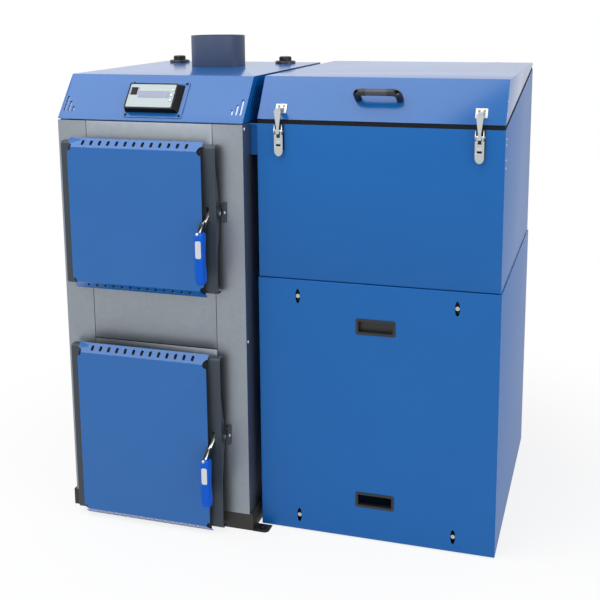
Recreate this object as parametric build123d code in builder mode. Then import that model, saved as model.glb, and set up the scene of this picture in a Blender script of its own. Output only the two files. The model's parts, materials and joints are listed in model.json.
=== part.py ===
"""Pellet boiler: a boiler cabinet, and at its right a pellet cabinet with a bin and a lid.

Millimetres. X runs to the right, Y to the rear and Z up. The origin lies on the floor, under the middle of
the whole object. The boiler's doors face -Y.
"""

from build123d import *

import os
from math import atan2, cos, degrees, radians, sin, sqrt

os.makedirs("parts", exist_ok=True)

# Sheet metal and shared clearances
sheet = 1.5
heavy_sheet = 4.0
seat_gap = 0.3
running_gap = 0.05
seam_gap = 1.5
overrun = 5.0

# Boiler casing
boiler_depth = 780.0
casing_bottom = 52.0
casing_above_door = 56.0
collar_seam = 9.0
split_above_door = 16.0
side_bolt_reach = 16.0
side_bolt_radius = 8.0
side_bolt_height = 66.0
side_bolt_setback = 14.0
casing_screw_radius = 4.0
casing_screw_head = 2.5

# Base of the boiler
base_overhang = 10.0
base_wall = 6.0
foot_thickness = 3.0
foot_length = 46.0
foot_reach = 44.0
foot_corner = 14.0
foot_hole_radius = 7.0

# Hood
hood_height = 128.0
hood_gap = 4.0
hood_setback = 100.0
hood_recess = 6.0
louvre_count = 5
louvre_width = 7.0
louvre_length = 82.0
louvre_pitch = 19.0
louvre_setback = 40.0
corner_slot_count = 3
corner_slot_width = 7.0
corner_slot_pitch = 13.0
corner_slot_inset = 14.0

# Pipes on the boiler
flue_radius = 89.0
flue_wall = 3.0
flue_height = 100.0
flue_step = 1.0
flue_aside = 4.0
flue_from_rear = 235.0
flue_collar = 14.0
socket_radius = 24.0
socket_wall = 4.0
cap_radius = 21.0
cap_flange_radius = 35.0
cap_flange_height = 9.0
cap_height = 15.0
socket_from_rear = 80.0
left_socket_inset = 84.0
right_socket_inset = 102.0

# Boiler vessel
vessel_inset = 80.0
vessel_front = 60.0
vessel_rear_gap = 60.0
vessel_bottom = 60.0
vessel_top_gap = 32.0
jacket = 36.0
chamber_floor = 30.0
collar_wall = 10.0
collar_reach = 8.0
throat_shelf = 34.0
throat_depth = 350.0
grate_thickness = 25.0
grate_slot_count = 7
grate_slot_width = 16.0
ash_pan_height = 78.0
ash_pan_wall = 2.0

# Doors
door_left = 28.0
door_width = 482.0
door_strip = 70.0
lower_door_bottom = 14.0
lower_door_height = 532.0
door_spacing = 192.0
upper_door_height = 428.0
door_stand_off = 38.0
door_flange = 28.0
door_bend = 10.0
door_lap_x = 72.0
upper_lap_z = 41.0
lower_lap_z = 51.0
seal_width = 14.0
refractory_reach = 6.0
refractory_gap = 4.0
cover_inset_x = 33.0
cover_inset_z = 14.0
cover_stand_off = 24.0
cover_return = 26.0
cover_hole_count = 13
cover_hole_row_share = 0.8438
cover_hole_length = 18.0
cover_hole_width = 9.0
cover_notch_radius = 12.0
stud_radius = 6.0

# Door hinges
hinge_inset = 15.0
hinge_stand_off = 20.0
hinge_radius = 8.0
hinge_pin_radius = 5.0
hinge_height = 24.0
hinge_web = 10.0
hinge_from_edge = 48.0

# Door latches
latch_above_middle = 20.0
slot_width = 9.0
slot_half_height = 20.0
slot_corner = 2.0
lever_from_edge = 26.0
lever_thickness = 8.0
lever_bar = 8.0
lever_stand_off = 18.0
lever_slope = 31.0
shaft_radius = 6.0
rib_thickness = 4.0
rib_depth = 26.0
rib_half_length = 129.0
cheek_half_length = 22.0
hook_thickness = 5.0
hook_disc_radius = 12.0
hook_tip_radius = 17.0
hook_tip_angle = 54.0
hook_finger_width = 7.0
hook_gap = 0.5
shaft_end_length = 2.5
keeper_pin_radius = 3.5
keeper_side_gap = 2.0
keeper_plate = 4.0
keeper_height = 58.0
keeper_foot = 8.0
grip_width = 28.0
grip_depth = 32.0
grip_length = 152.0
grip_reach = 112.0
grip_waist = 24.0
tang_depth = 14.0
tang_length = 74.0
tang_gap = 0.1

# Control unit: places across are from the boiler's middle, places up the slope are from the plate's middle
control_aside = 10.0
control_up_share = 0.456
control_plate_width = 184.0
control_plate_height = 125.0
control_plate = 2.5
housing_aside = 5.0
housing_lift = 1.5
housing_width = 170.0
housing_height = 95.0
housing_depth = 22.0
face_aside = 1.5
face_drop = 2.0
face_width = 150.0
face_height = 85.0
face_thickness = 2.0
face_pocket_edge = 3.0
face_pocket_depth = 12.0
display_aside = 10.5
display_lift = 1.5
display_width = 97.0
display_height = 22.0
display_depth = 6.0
display_recess = 0.4
rocker_aside = 54.5
rocker_lift = 13.0
rocker_width = 28.0
rocker_height = 24.0
rocker_play = 1.0
rocker_depth = 9.0
rocker_rise = 2.6
rocker_pin_radius = 1.5
rocker_lug = 1.5
button_aside = 65.0
button_drop = 16.0
button_pitch = 17.5
button_count = 3
button_radius = 4.0
button_rise = 1.4
button_length = 8.0
control_screw_radius = 4.0
control_screw_head = 2.5
control_screw_inset = 8.0

# Hopper cabinet
cabinet_gap = 26.0
hopper_width = 690.0
hopper_setback = 48.0
hopper_depth = 824.0
hopper_foot = 4.0
hopper_split = 776.0
hopper_proud = 3.0
lip_width = 15.0
frame_bar = 25.0
frame_foot = 30.0
bin_gap = 3.0
bin_foot_inset = 6.0
bin_height = 446.0
bin_rise = 108.0
gasket_height = 13.0
gasket_width = 16.0
gasket_inset = 2.0
lid_rear_height = 7.0
lid_setback = 75.0
vent_count = 60
vent_width = 7.0
vent_height = 4.0
vent_inset = 9.0
link_drop = 92.0
link_height = 85.0
link_setback = 16.0
link_depth = 30.0

# Service panel of the hopper cabinet
panel_return = 11.0
panel_bend = 3.0
oval_width = 14.0
oval_height = 43.0
oval_inset = 116.0
oval_low = 50.0
oval_drop = 48.0
recess_width = 114.0
recess_height = 46.0
recess_flange = 5.0
recess_depth = 16.0
recess_wall = 2.0
recess_lip = 1.5
recess_low = 126.5
recess_drop = 122.5
crossbar_height = 76.0
panel_stud_radius = 4.0
panel_stud_head_radius = 6.0
panel_stud_head = 3.0
panel_stud_recess = 2.0

# Toggle latches on the hopper
toggle_inset = 66.0
toggle_width = 28.0
toggle_pivot_drop = 19.0
toggle_pivot_stand_off = 10.0
toggle_pin_radius = 2.5
toggle_ear_gap = 19.0
toggle_ear = 2.5
toggle_ear_radius = 8.0
toggle_base = 2.0
toggle_base_drop = 72.0
toggle_barrel_radius = 5.0
toggle_lever_length = 70.0
toggle_lever_shoulder = 9.5
toggle_lever_thickness = 5.0
toggle_tip_width = 8.0
toggle_tip_length = 26.0
arm_window_width = 10.0
arm_window_length = 13.0
low_window_width = 13.0
low_window_drop = 29.0
arm_pin_drop = 13.0
arm_pin_radius = 2.0
arm_eye_radius = 4.0
arm_thickness = 2.0
arm_height = 78.0
arm_top_width = 20.0
arm_low_width = 8.4
arm_reach = 8.0
strike_width = 32.0
strike_height = 29.0
strike_low = 19.0
strike_plate = 2.0
strike_nose_gap = 1.5
strike_nose_height = 4.0
strike_nose_drop = 4.0

# Lid handle, a round bridge handle across the slope of the lid
bow_x = -3.0
bow_up = 70.0
bow_width = 137.0
bow_bar = 20.0
bow_reach = 50.0
bow_bend = 17.0

# Lid hinges
lid_hinge_reach = 9.0
lid_hinge_drop = 5.0
lid_hinge_radius = 7.0
lid_hinge_pin_radius = 3.5
lid_hinge_length = 60.0
lid_hinge_inset = 115.0
lid_hinge_leaf = 3.0

# Pellet feed: places along X are from the hopper's left side, heights are from the auger's axis
funnel_lift = 124.0
funnel_wall = 2.0
funnel_outlet = 80.0
spout_height = 56.0
feed_share = 0.5855
feed_y = 300.0
auger_height = 262.0
auger_tube_radius = 45.0
auger_tube_wall = 3.0
auger_tube_start = 94.0
auger_tube_past_spout = 80.0
screw_radius = 38.0
screw_shaft_radius = 9.0
screw_pitch = 60.0
screw_flight = 4.0
screw_end_gap = 6.0
motor_length = 80.0
motor_body = 96.0
motor_can_radius = 38.0
motor_can_length = 70.0
motor_bore_depth = 30.0
burner_box_start = 2.0
burner_box_drop = 92.0
burner_box_rise = 110.0
burner_box_half = 104.0
burner_box_wall = 3.0
nozzle_rise = 34.0
nozzle_radius = 58.0
nozzle_wall = 4.0
nozzle_reach = 200.0
impeller_radius = 34.0
impeller_width = 22.0
impeller_blade = 3.0
impeller_blade_count = 8
impeller_hub_radius = 9.0
impeller_aside = 48.0
impeller_drop = 48.0
impeller_shaft_radius = 4.0
impeller_gap = 4.0
fan_motor_radius = 30.0
fan_motor_length = 55.0
fan_bore_depth = 20.0

# Widths and heights that follow from the sizes above
boiler_width = door_left + door_width + door_strip
flange_width = door_left + door_lap_x - collar_seam
lower_door_top = lower_door_bottom + lower_door_height
upper_door_bottom = lower_door_top + door_spacing
upper_door_top = upper_door_bottom + upper_door_height
panel_split = lower_door_top + split_above_door
casing_top = upper_door_top + casing_above_door
vessel_top = casing_top - vessel_top_gap
hood_top = casing_top + hood_height
flue_top = hood_top + flue_height
bin_front_top = hopper_split + bin_height
bin_rear_top = bin_front_top + bin_rise
lid_top = bin_rear_top + gasket_height + lid_rear_height
link_low = bin_front_top - link_drop
link_high = link_low + link_height
oval_high = hopper_split - oval_drop
recess_high = hopper_split - recess_drop
toggle_spread = hopper_width / 2 - toggle_inset
funnel_top = hopper_split + funnel_lift
funnel_bottom = auger_height + spout_height
nozzle_height = auger_height + nozzle_rise
burner_box_low = auger_height - burner_box_drop
burner_box_high = auger_height + burner_box_rise
impeller_height = auger_height - impeller_drop

# Places in the shared frame, worked out from the sizes above
lid_hinge_back = lid_hinge_reach + lid_hinge_radius
overall_width = side_bolt_reach + boiler_width + cabinet_gap + hopper_width + hopper_proud
overall_depth = grip_reach + hopper_setback + hopper_depth + lid_hinge_back
boiler_x = side_bolt_reach - overall_width / 2
boiler_right = boiler_x + boiler_width
front_y = grip_reach - overall_depth / 2
rear_y = front_y + boiler_depth
hood_bottom = casing_top + hood_gap
hood_rise = hood_top - hood_bottom
hood_angle = degrees(atan2(hood_rise, hood_setback))
hopper_x = boiler_right + cabinet_gap
hopper_right = hopper_x + hopper_width
hopper_mid = hopper_x + hopper_width / 2
hopper_front = front_y + hopper_setback
hopper_rear = hopper_front + hopper_depth
case_left = hopper_x - hopper_proud
case_right = hopper_right + hopper_proud
case_front = hopper_front - hopper_proud
case_rear = hopper_rear + hopper_proud
door_x = boiler_x + door_left
door_right = door_x + door_width
door_front = front_y - door_stand_off
door_back = door_front + heavy_sheet
collar_front = front_y - collar_reach
hinge_x = door_x + hinge_inset
hinge_y = front_y - hinge_stand_off
lever_x = door_right - lever_from_edge
pivot_y = front_y - lever_stand_off
flue_x = boiler_x + boiler_width / 2 + flue_aside
flue_y = rear_y - flue_from_rear
socket_y = rear_y - socket_from_rear
socket_places = [(boiler_x + left_socket_inset, socket_y), (boiler_right - right_socket_inset, socket_y)]
feed_centre_x = hopper_x + hopper_width * feed_share
feed_centre_y = front_y + feed_y
impeller_x = hopper_x + impeller_aside


def slab(x, y, z, mode=Mode.ADD):
    """Adds to, or cuts from, the part being built a block between pairs of limits."""
    with Locations(((x[0] + x[1]) / 2, (y[0] + y[1]) / 2, (z[0] + z[1]) / 2)):
        Box(x[1] - x[0], y[1] - y[0], z[1] - z[0], mode=mode)


# Base of the boiler: a folded steel frame, a little wider than the casing, with a bolted floor bracket
with BuildPart() as base_frame:
    slab(
        (boiler_x - base_overhang, boiler_right + base_overhang),
        (front_y, rear_y),
        (0, casing_bottom),
    )
    slab(
        (boiler_x - base_overhang + base_wall, boiler_right + base_overhang - base_wall),
        (front_y + base_wall, rear_y - base_wall),
        (-overrun, casing_bottom - base_wall),
        mode=Mode.SUBTRACT,
    )
    slab(
        (boiler_x + flange_width, boiler_right - flange_width),
        (front_y + flange_width, rear_y - flange_width),
        (0, casing_bottom + overrun),
        mode=Mode.SUBTRACT,
    )
base_frame.part.label = "base_frame"
export_step(base_frame.part, "parts/base_frame.step")

# Floor bracket at the front right, a flat lug with one anchor hole
foot_left = boiler_right + base_overhang
with BuildPart() as floor_bracket:
    with BuildSketch():
        with Locations((foot_left + foot_length / 2, front_y + foot_reach / 2)):
            Rectangle(foot_length, foot_reach)
        corner = vertices().sort_by(Axis.Y)[0:2].sort_by(Axis.X)[-1]
        fillet(corner, foot_corner)
        with Locations((foot_left + foot_length / 2, front_y + foot_reach / 2)):
            Circle(foot_hole_radius, mode=Mode.SUBTRACT)
    extrude(amount=foot_thickness)
floor_bracket.part.label = "floor_bracket"
export_step(floor_bracket.part, "parts/floor_bracket.step")


def side_panel(outer_x, inward):
    """Side sheet of the casing, folded round the front and the rear edge. inward is 1 or -1 along X."""
    with BuildPart() as panel:
        with BuildSketch(Plane.XY.offset(casing_bottom)):
            with BuildLine():
                Polyline(
                    (outer_x + inward * flange_width, front_y),
                    (outer_x, front_y),
                    (outer_x, rear_y),
                    (outer_x + inward * flange_width, rear_y),
                    (outer_x + inward * flange_width, rear_y - sheet),
                    (outer_x + inward * sheet, rear_y - sheet),
                    (outer_x + inward * sheet, front_y + sheet),
                    (outer_x + inward * flange_width, front_y + sheet),
                    close=True,
                )
            make_face()
        extrude(amount=casing_top - casing_bottom)
        fillet(panel.edges().filter_by(Axis.Z).group_by(Axis.Y)[0], sheet / 3)
        inner_x = outer_x + inward * (hood_recess + lip_width)
        flange_x = (min(outer_x, inner_x), max(outer_x, inner_x))
        slab(flange_x, (front_y, rear_y), (casing_top - sheet, casing_top))
    return panel


# Casing sides: galvanised sheet; the right one is open round the burner nozzle
left_side_panel = side_panel(boiler_x, 1)
left_side_panel.part.label = "left_side_panel"
export_step(left_side_panel.part, "parts/left_side_panel.step")

nozzle_clearance = nozzle_radius + seat_gap
with BuildPart() as right_side_panel:
    add(side_panel(boiler_right, -1).part)
    with BuildSketch(Plane.YZ.offset(boiler_right - sheet - overrun)):
        with Locations((feed_centre_y, nozzle_height)):
            Rectangle(2 * nozzle_clearance, 2 * nozzle_clearance)
    extrude(amount=sheet + 2 * overrun, mode=Mode.SUBTRACT)
right_side_panel.part.label = "right_side_panel"
export_step(right_side_panel.part, "parts/right_side_panel.step")

# Rear panel between the rear flanges
panel_left = boiler_x + flange_width + seam_gap
panel_right = boiler_right - flange_width - seam_gap
with BuildPart() as rear_panel:
    slab((panel_left, panel_right), (rear_y - sheet, rear_y), (casing_bottom, casing_top))
    slab(
        (panel_left - lip_width, panel_right + lip_width),
        (rear_y - 2 * sheet, rear_y - sheet),
        (casing_bottom, casing_top),
    )
rear_panel.part.label = "rear_panel"
export_step(rear_panel.part, "parts/rear_panel.step")

# Collars of the vessel, on which the doors close; the front panels are cut round them
collar_left = door_x + door_lap_x
collar_right = door_right - door_lap_x
upper_collar = (upper_door_bottom + upper_lap_z, upper_door_top - upper_lap_z)
lower_collar = (lower_door_bottom + lower_lap_z, lower_door_top - lower_lap_z)


def front_panel(z_low, z_high, collar):
    """Front sheet between the side flanges, cut round one door collar, with a joggle behind each flange."""
    with BuildPart() as panel:
        slab((panel_left, panel_right), (front_y, front_y + sheet), (z_low, z_high))
        slab(
            (panel_left - lip_width, panel_right + lip_width),
            (front_y + sheet, front_y + 2 * sheet),
            (z_low, z_high),
        )
        slab(
            (collar_left - seam_gap, collar_right + seam_gap),
            (front_y - overrun, front_y + 2 * sheet + overrun),
            (collar[0] - seam_gap, collar[1] + seam_gap),
            mode=Mode.SUBTRACT,
        )
    return panel


upper_front_panel = front_panel(panel_split, casing_top, upper_collar)
upper_front_panel.part.label = "upper_front_panel"
export_step(upper_front_panel.part, "parts/upper_front_panel.step")

lower_front_panel = front_panel(casing_bottom, panel_split - 2 * seam_gap, lower_collar)
lower_front_panel.part.label = "lower_front_panel"
export_step(lower_front_panel.part, "parts/lower_front_panel.step")

# Places of the hood's slope: local X runs across the boiler and local Y up the slope
slope_plane = Plane(
    origin=(boiler_x, front_y, hood_bottom),
    x_dir=(1, 0, 0),
    z_dir=(0, -sin(radians(hood_angle)), cos(radians(hood_angle))),
)
slope_length = hood_rise / sin(radians(hood_angle))
slope_mid = boiler_width / 2
control_place = (slope_mid + control_aside, slope_length * control_up_share)
housing_place = (slope_mid + housing_aside, control_place[1] + housing_lift)
face_place = (slope_mid + face_aside, control_place[1] - face_drop)
display_place = (slope_mid + display_aside, control_place[1] + display_lift)
rocker_place = (slope_mid - rocker_aside, control_place[1] + rocker_lift)
button_places = [
    (slope_mid + button_aside, control_place[1] - button_drop + index * button_pitch)
    for index in range(button_count)
]

# Casing screws: round heads on the right side and on the control unit's plate, a domed nut low at the left
screw_places = [
    (front_y + flange_width / 4, casing_top - flange_width / 4),
    (front_y + flange_width / 4, panel_split + flange_width / 2),
]
with BuildPart() as casing_screws:
    for place in screw_places:
        with BuildSketch(Plane.YZ.offset(boiler_right)):
            with Locations(place):
                Circle(casing_screw_radius)
        extrude(amount=casing_screw_head)
    with BuildSketch(Plane.YZ.offset(boiler_x)):
        with Locations((front_y + side_bolt_setback, side_bolt_height)):
            Circle(side_bolt_radius)
    extrude(amount=-side_bolt_reach)
    dome = casing_screws.faces().sort_by(Axis.X)[0].edges()
    fillet(dome, side_bolt_radius - sheet)
    with BuildSketch(slope_plane.offset(control_plate)):
        with Locations(control_place):
            with GridLocations(
                control_plate_width - 2 * control_screw_inset,
                control_plate_height - 2 * control_screw_inset,
                2,
                2,
            ):
                Circle(control_screw_radius)
    extrude(amount=control_screw_head)
casing_screws.part.label = "casing_screws"
export_step(casing_screws.part, "parts/casing_screws.step")

# Hood: one folded blue cover, open below, with louvre slots in both sides and slots at the front corners
hood_outline = [
    (front_y, hood_bottom),
    (front_y + hood_setback, hood_top),
    (rear_y, hood_top),
    (rear_y, hood_bottom),
]
slope_inset = sheet / sin(radians(hood_angle))
top_inset = slope_inset * (1 - cos(radians(hood_angle)))
hood_inside = [
    (front_y + slope_inset, hood_bottom),
    (front_y + hood_setback + top_inset, hood_top - sheet),
    (rear_y - sheet, hood_top - sheet),
    (rear_y - sheet, hood_bottom),
]
with BuildPart() as hood:
    with BuildSketch(Plane.YZ.offset(boiler_x)):
        with BuildLine():
            Polyline(*hood_outline, close=True)
        make_face()
    extrude(amount=boiler_width)
    fillet(hood.edges().filter_by(Axis.X).group_by(Axis.Z)[-1], sheet)
    with BuildSketch(Plane.YZ.offset(boiler_x + sheet)):
        with BuildLine():
            Polyline(*hood_inside, close=True)
        make_face()
    extrude(amount=boiler_width - 2 * sheet, mode=Mode.SUBTRACT)
    for side_x in (boiler_x - overrun, boiler_right - sheet - overrun):
        with BuildSketch(Plane.YZ.offset(side_x)):
            for index in range(louvre_count):
                middle_y = front_y + hood_setback / 2 + louvre_setback + index * louvre_pitch
                with Locations((middle_y, hood_bottom + hood_rise / 2)):
                    SlotOverall(louvre_length, louvre_width, rotation=hood_angle)
        extrude(amount=sheet + 2 * overrun, mode=Mode.SUBTRACT)
    with BuildSketch(slope_plane.offset(-sheet - overrun)):
        for index in range(corner_slot_count):
            slot_length = slope_length * (index + 1) / (corner_slot_count * 3)
            edge_gap = corner_slot_inset + (corner_slot_count - 1 - index) * corner_slot_pitch
            for slot_x in (edge_gap, boiler_width - edge_gap):
                with Locations((slot_x, slope_length / 6 + slot_length / 2)):
                    SlotOverall(slot_length, corner_slot_width, rotation=90)
    extrude(amount=sheet + 2 * overrun, mode=Mode.SUBTRACT)
    with BuildSketch(Plane.XY.offset(hood_top - sheet - overrun)):
        with Locations((flue_x, flue_y)):
            Circle(flue_radius + seat_gap)
        with Locations(*socket_places):
            Circle(socket_radius + seat_gap)
    extrude(amount=sheet + 2 * overrun, mode=Mode.SUBTRACT)
    slab(
        (boiler_x + hood_recess, boiler_right - hood_recess),
        (front_y + hood_recess, rear_y - hood_recess),
        (hood_bottom - hood_gap, hood_bottom),
    )
    slab(
        (boiler_x + sheet, boiler_right - sheet),
        (front_y + hood_recess, rear_y - sheet),
        (hood_bottom, hood_bottom + sheet),
    )
    slab(
        (boiler_x + hood_recess + lip_width, boiler_right - hood_recess - lip_width),
        (front_y + hood_recess + lip_width, rear_y - hood_recess - lip_width),
        (hood_bottom - hood_gap - overrun, hood_bottom + sheet + overrun),
        mode=Mode.SUBTRACT,
    )
hood.part.label = "hood"
export_step(hood.part, "parts/hood.step")

# Boiler vessel: welded steel, a fire chamber above and an ash chamber below, joined by the grate's throat.
# Its walls are plates and blocks a hair apart, with a quartered block round each of its two round holes
vessel_left = boiler_x + vessel_inset
vessel_right = boiler_right - vessel_inset
vessel_back = rear_y - vessel_rear_gap
vessel_y = front_y + vessel_front
chamber_left = collar_left + collar_wall
chamber_right = collar_right - collar_wall
throat_mid = (collar_left + collar_right) / 2
throat_width = chamber_right - chamber_left - 2 * throat_shelf
throat_y = front_y + feed_y
fire_floor = panel_split + chamber_floor
ash_floor = lower_collar[0] + collar_wall
ash_top = lower_collar[1] - collar_wall
crown_z = (upper_collar[1] - collar_wall, vessel_top)
nozzle_block = nozzle_clearance + 2 * collar_wall
nozzle_z = (nozzle_height - nozzle_block, nozzle_height + nozzle_block)
flue_block = flue_radius + flue_collar
flue_block_x = (flue_x - flue_block, flue_x + flue_block)
chamber_x = (chamber_left, chamber_right)
right_wall_x = (chamber_right + seat_gap, vessel_right)
vessel_depth_y = (vessel_y, vessel_back)
inner_y = (vessel_y, vessel_back - jacket - seat_gap)
collar_y = (collar_front, vessel_y - seat_gap)
nozzle_place = (feed_centre_y, nozzle_height)
flue_hole = flue_radius - flue_wall - seat_gap
holed_blocks = [
    (Plane.YZ.offset(right_wall_x[0]), nozzle_place, nozzle_clearance, nozzle_block, right_wall_x),
    (Plane.XY.offset(crown_z[0]), (flue_x, flue_y), flue_hole, flue_block, crown_z),
]
with BuildPart() as boiler_vessel:
    slab(chamber_x, inner_y, (ash_top, fire_floor))
    slab(
        (throat_mid - throat_width / 2, throat_mid + throat_width / 2),
        (throat_y - throat_depth / 2, throat_y + throat_depth / 2),
        (ash_top - overrun, fire_floor + overrun),
        mode=Mode.SUBTRACT,
    )
    slab(
        (throat_mid - throat_width / 2 - lip_width, throat_mid + throat_width / 2 + lip_width),
        (throat_y - throat_depth / 2 - lip_width, throat_y + throat_depth / 2 + lip_width),
        (fire_floor - grate_thickness, fire_floor + overrun),
        mode=Mode.SUBTRACT,
    )
    for plane, place, hole, half_side, limits in holed_blocks:
        with BuildSketch(plane):
            with Locations(place):
                Rectangle(2 * half_side, 2 * half_side)
                Circle(hole, mode=Mode.SUBTRACT)
                for turn in (45, 135):
                    Rectangle(2 * sqrt(2) * half_side, seat_gap, rotation=turn, mode=Mode.SUBTRACT)
        extrude(amount=limits[1] - limits[0])
    slab((vessel_left, chamber_left - seat_gap), vessel_depth_y, (casing_bottom, vessel_top))
    slab(right_wall_x, vessel_depth_y, (casing_bottom, nozzle_z[0] - seat_gap))
    slab(right_wall_x, vessel_depth_y, (nozzle_z[1] + seat_gap, vessel_top))
    slab(right_wall_x, (vessel_y, feed_centre_y - nozzle_block - seat_gap), nozzle_z)
    slab(right_wall_x, (feed_centre_y + nozzle_block + seat_gap, vessel_back), nozzle_z)
    slab(chamber_x, (vessel_back - jacket, vessel_back), (vessel_bottom, vessel_top))
    slab(chamber_x, inner_y, (vessel_bottom, ash_floor))
    slab(
        chamber_x,
        (vessel_y, vessel_y + jacket),
        (fire_floor + seat_gap, upper_collar[0] + collar_wall),
    )
    slab((chamber_left, flue_block_x[0] - seat_gap), inner_y, crown_z)
    slab((flue_block_x[1] + seat_gap, chamber_right), inner_y, crown_z)
    slab(flue_block_x, (vessel_y, flue_y - flue_block - seat_gap), crown_z)
    slab(flue_block_x, (flue_y + flue_block + seat_gap, inner_y[1]), crown_z)
    for collar in (upper_collar, lower_collar):
        for plate_x in ((collar_left, chamber_left), (chamber_right, collar_right)):
            slab(plate_x, collar_y, collar)
        for plate_low in (collar[0], collar[1] - collar_wall):
            slab(
                (chamber_left + seat_gap, chamber_right - seat_gap),
                collar_y,
                (plate_low, plate_low + collar_wall),
            )
boiler_vessel.part.label = "boiler_vessel"
export_step(boiler_vessel.part, "parts/boiler_vessel.step")

# Grate: cast iron plate with long slots, lying in the throat
grate_half_width = throat_width / 2 + lip_width - seat_gap
grate_half_depth = throat_depth / 2 + lip_width - seat_gap
with BuildPart() as grate:
    slab(
        (throat_mid - grate_half_width, throat_mid + grate_half_width),
        (throat_y - grate_half_depth, throat_y + grate_half_depth),
        (fire_floor - grate_thickness, fire_floor),
    )
    with BuildSketch(Plane.XY.offset(fire_floor - grate_thickness - overrun)):
        with Locations((throat_mid, throat_y)):
            with GridLocations(throat_width / grate_slot_count, 0, grate_slot_count, 1):
                SlotOverall(throat_depth - lip_width, grate_slot_width, rotation=90)
    extrude(amount=grate_thickness + 2 * overrun, mode=Mode.SUBTRACT)
grate.part.label = "grate"
export_step(grate.part, "parts/grate.step")

# Ash pan: open tray on the floor of the ash chamber
pan_x = (chamber_left + seat_gap + ash_pan_wall, chamber_right - seat_gap - ash_pan_wall)
pan_y = (vessel_y + jacket, vessel_back - jacket - seat_gap)
with BuildPart() as ash_pan:
    slab(pan_x, pan_y, (ash_floor, ash_floor + ash_pan_height))
    slab(
        (pan_x[0] + ash_pan_wall, pan_x[1] - ash_pan_wall),
        (pan_y[0] + ash_pan_wall, pan_y[1] - ash_pan_wall),
        (ash_floor + ash_pan_wall, ash_floor + ash_pan_height + overrun),
        mode=Mode.SUBTRACT,
    )
ash_pan.part.label = "ash_pan"
export_step(ash_pan.part, "parts/ash_pan.step")

# Flue spigot: a steel pipe standing on the vessel, with a foot ring, and a hair wider above the hood
flue_socket_top = hood_top + flue_step
with BuildPart() as flue_spigot:
    with BuildSketch(Plane.XY.offset(vessel_top)):
        with Locations((flue_x, flue_y)):
            Circle(flue_radius - flue_step)
            Circle(flue_radius - flue_wall, mode=Mode.SUBTRACT)
    extrude(amount=flue_top - vessel_top)
    with BuildSketch(Plane.XY.offset(flue_socket_top)):
        with Locations((flue_x, flue_y)):
            Circle(flue_radius)
            Circle(flue_radius - flue_wall, mode=Mode.SUBTRACT)
    extrude(amount=flue_top - flue_socket_top)
    with BuildSketch(Plane.XY.offset(vessel_top)):
        with Locations((flue_x, flue_y)):
            Circle(flue_radius + flue_collar)
            Circle(flue_radius - flue_wall, mode=Mode.SUBTRACT)
    extrude(amount=heavy_sheet)
flue_spigot.part.label = "flue_spigot"
export_step(flue_spigot.part, "parts/flue_spigot.step")

# Pipe sockets: two pipes of the heating circuit, rising from the vessel to the top of the hood
socket_top = hood_top + cap_flange_height
with BuildPart() as pipe_sockets:
    for place in socket_places:
        with BuildSketch(Plane.XY.offset(vessel_top)):
            with Locations(place):
                Circle(socket_radius)
                Circle(socket_radius - socket_wall, mode=Mode.SUBTRACT)
        extrude(amount=socket_top - sheet - vessel_top)
    slab(
        (socket_places[0][0] - socket_radius, vessel_left + overrun),
        (socket_places[0][1] - socket_radius, socket_places[0][1] + socket_radius),
        (vessel_top, vessel_top + heavy_sheet),
    )
pipe_sockets.part.label = "pipe_sockets"
export_step(pipe_sockets.part, "parts/pipe_sockets.step")

# Socket caps: black plastic, a round flange on the hood and a lower crown
with BuildPart() as socket_caps:
    for place in socket_places:
        with BuildSketch(Plane.XY.offset(hood_top)):
            with Locations(place):
                Circle(cap_flange_radius)
                Circle(socket_radius + seat_gap, mode=Mode.SUBTRACT)
        extrude(amount=cap_flange_height)
        with BuildSketch(Plane.XY.offset(socket_top)):
            with Locations(place):
                Circle(cap_flange_radius)
        extrude(amount=-sheet)
        with BuildSketch(Plane.XY.offset(socket_top)):
            with Locations(place):
                Circle(cap_radius)
        extrude(amount=cap_height)
socket_caps.part.label = "socket_caps"
export_step(socket_caps.part, "parts/socket_caps.step")

# Door hinges: the casing's halves carry the pins, the doors' halves sit above them
hinge_lows = [
    upper_door_bottom + hinge_from_edge,
    upper_door_top - hinge_from_edge - 2 * hinge_height,
    lower_door_bottom + hinge_from_edge,
    lower_door_top - hinge_from_edge - 2 * hinge_height,
]
with BuildPart() as hinge_brackets:
    for low in hinge_lows:
        with BuildSketch(Plane.XY.offset(low)):
            with Locations((hinge_x, hinge_y)):
                Circle(hinge_radius)
        extrude(amount=hinge_height)
        with BuildSketch(Plane.XY.offset(low)):
            with Locations((hinge_x, hinge_y)):
                Circle(hinge_pin_radius)
        extrude(amount=2 * hinge_height)
        web_x = (hinge_x - hinge_web / 2, hinge_x + hinge_web / 2)
        slab(web_x, (hinge_y, front_y), (low, low + hinge_height))
        slab(
            (hinge_x - hinge_web / 2, hinge_x + hinge_height),
            (front_y - heavy_sheet, front_y),
            (low - hinge_web, low + hinge_height),
        )
hinge_brackets.part.label = "hinge_brackets"
export_step(hinge_brackets.part, "parts/hinge_brackets.step")


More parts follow.
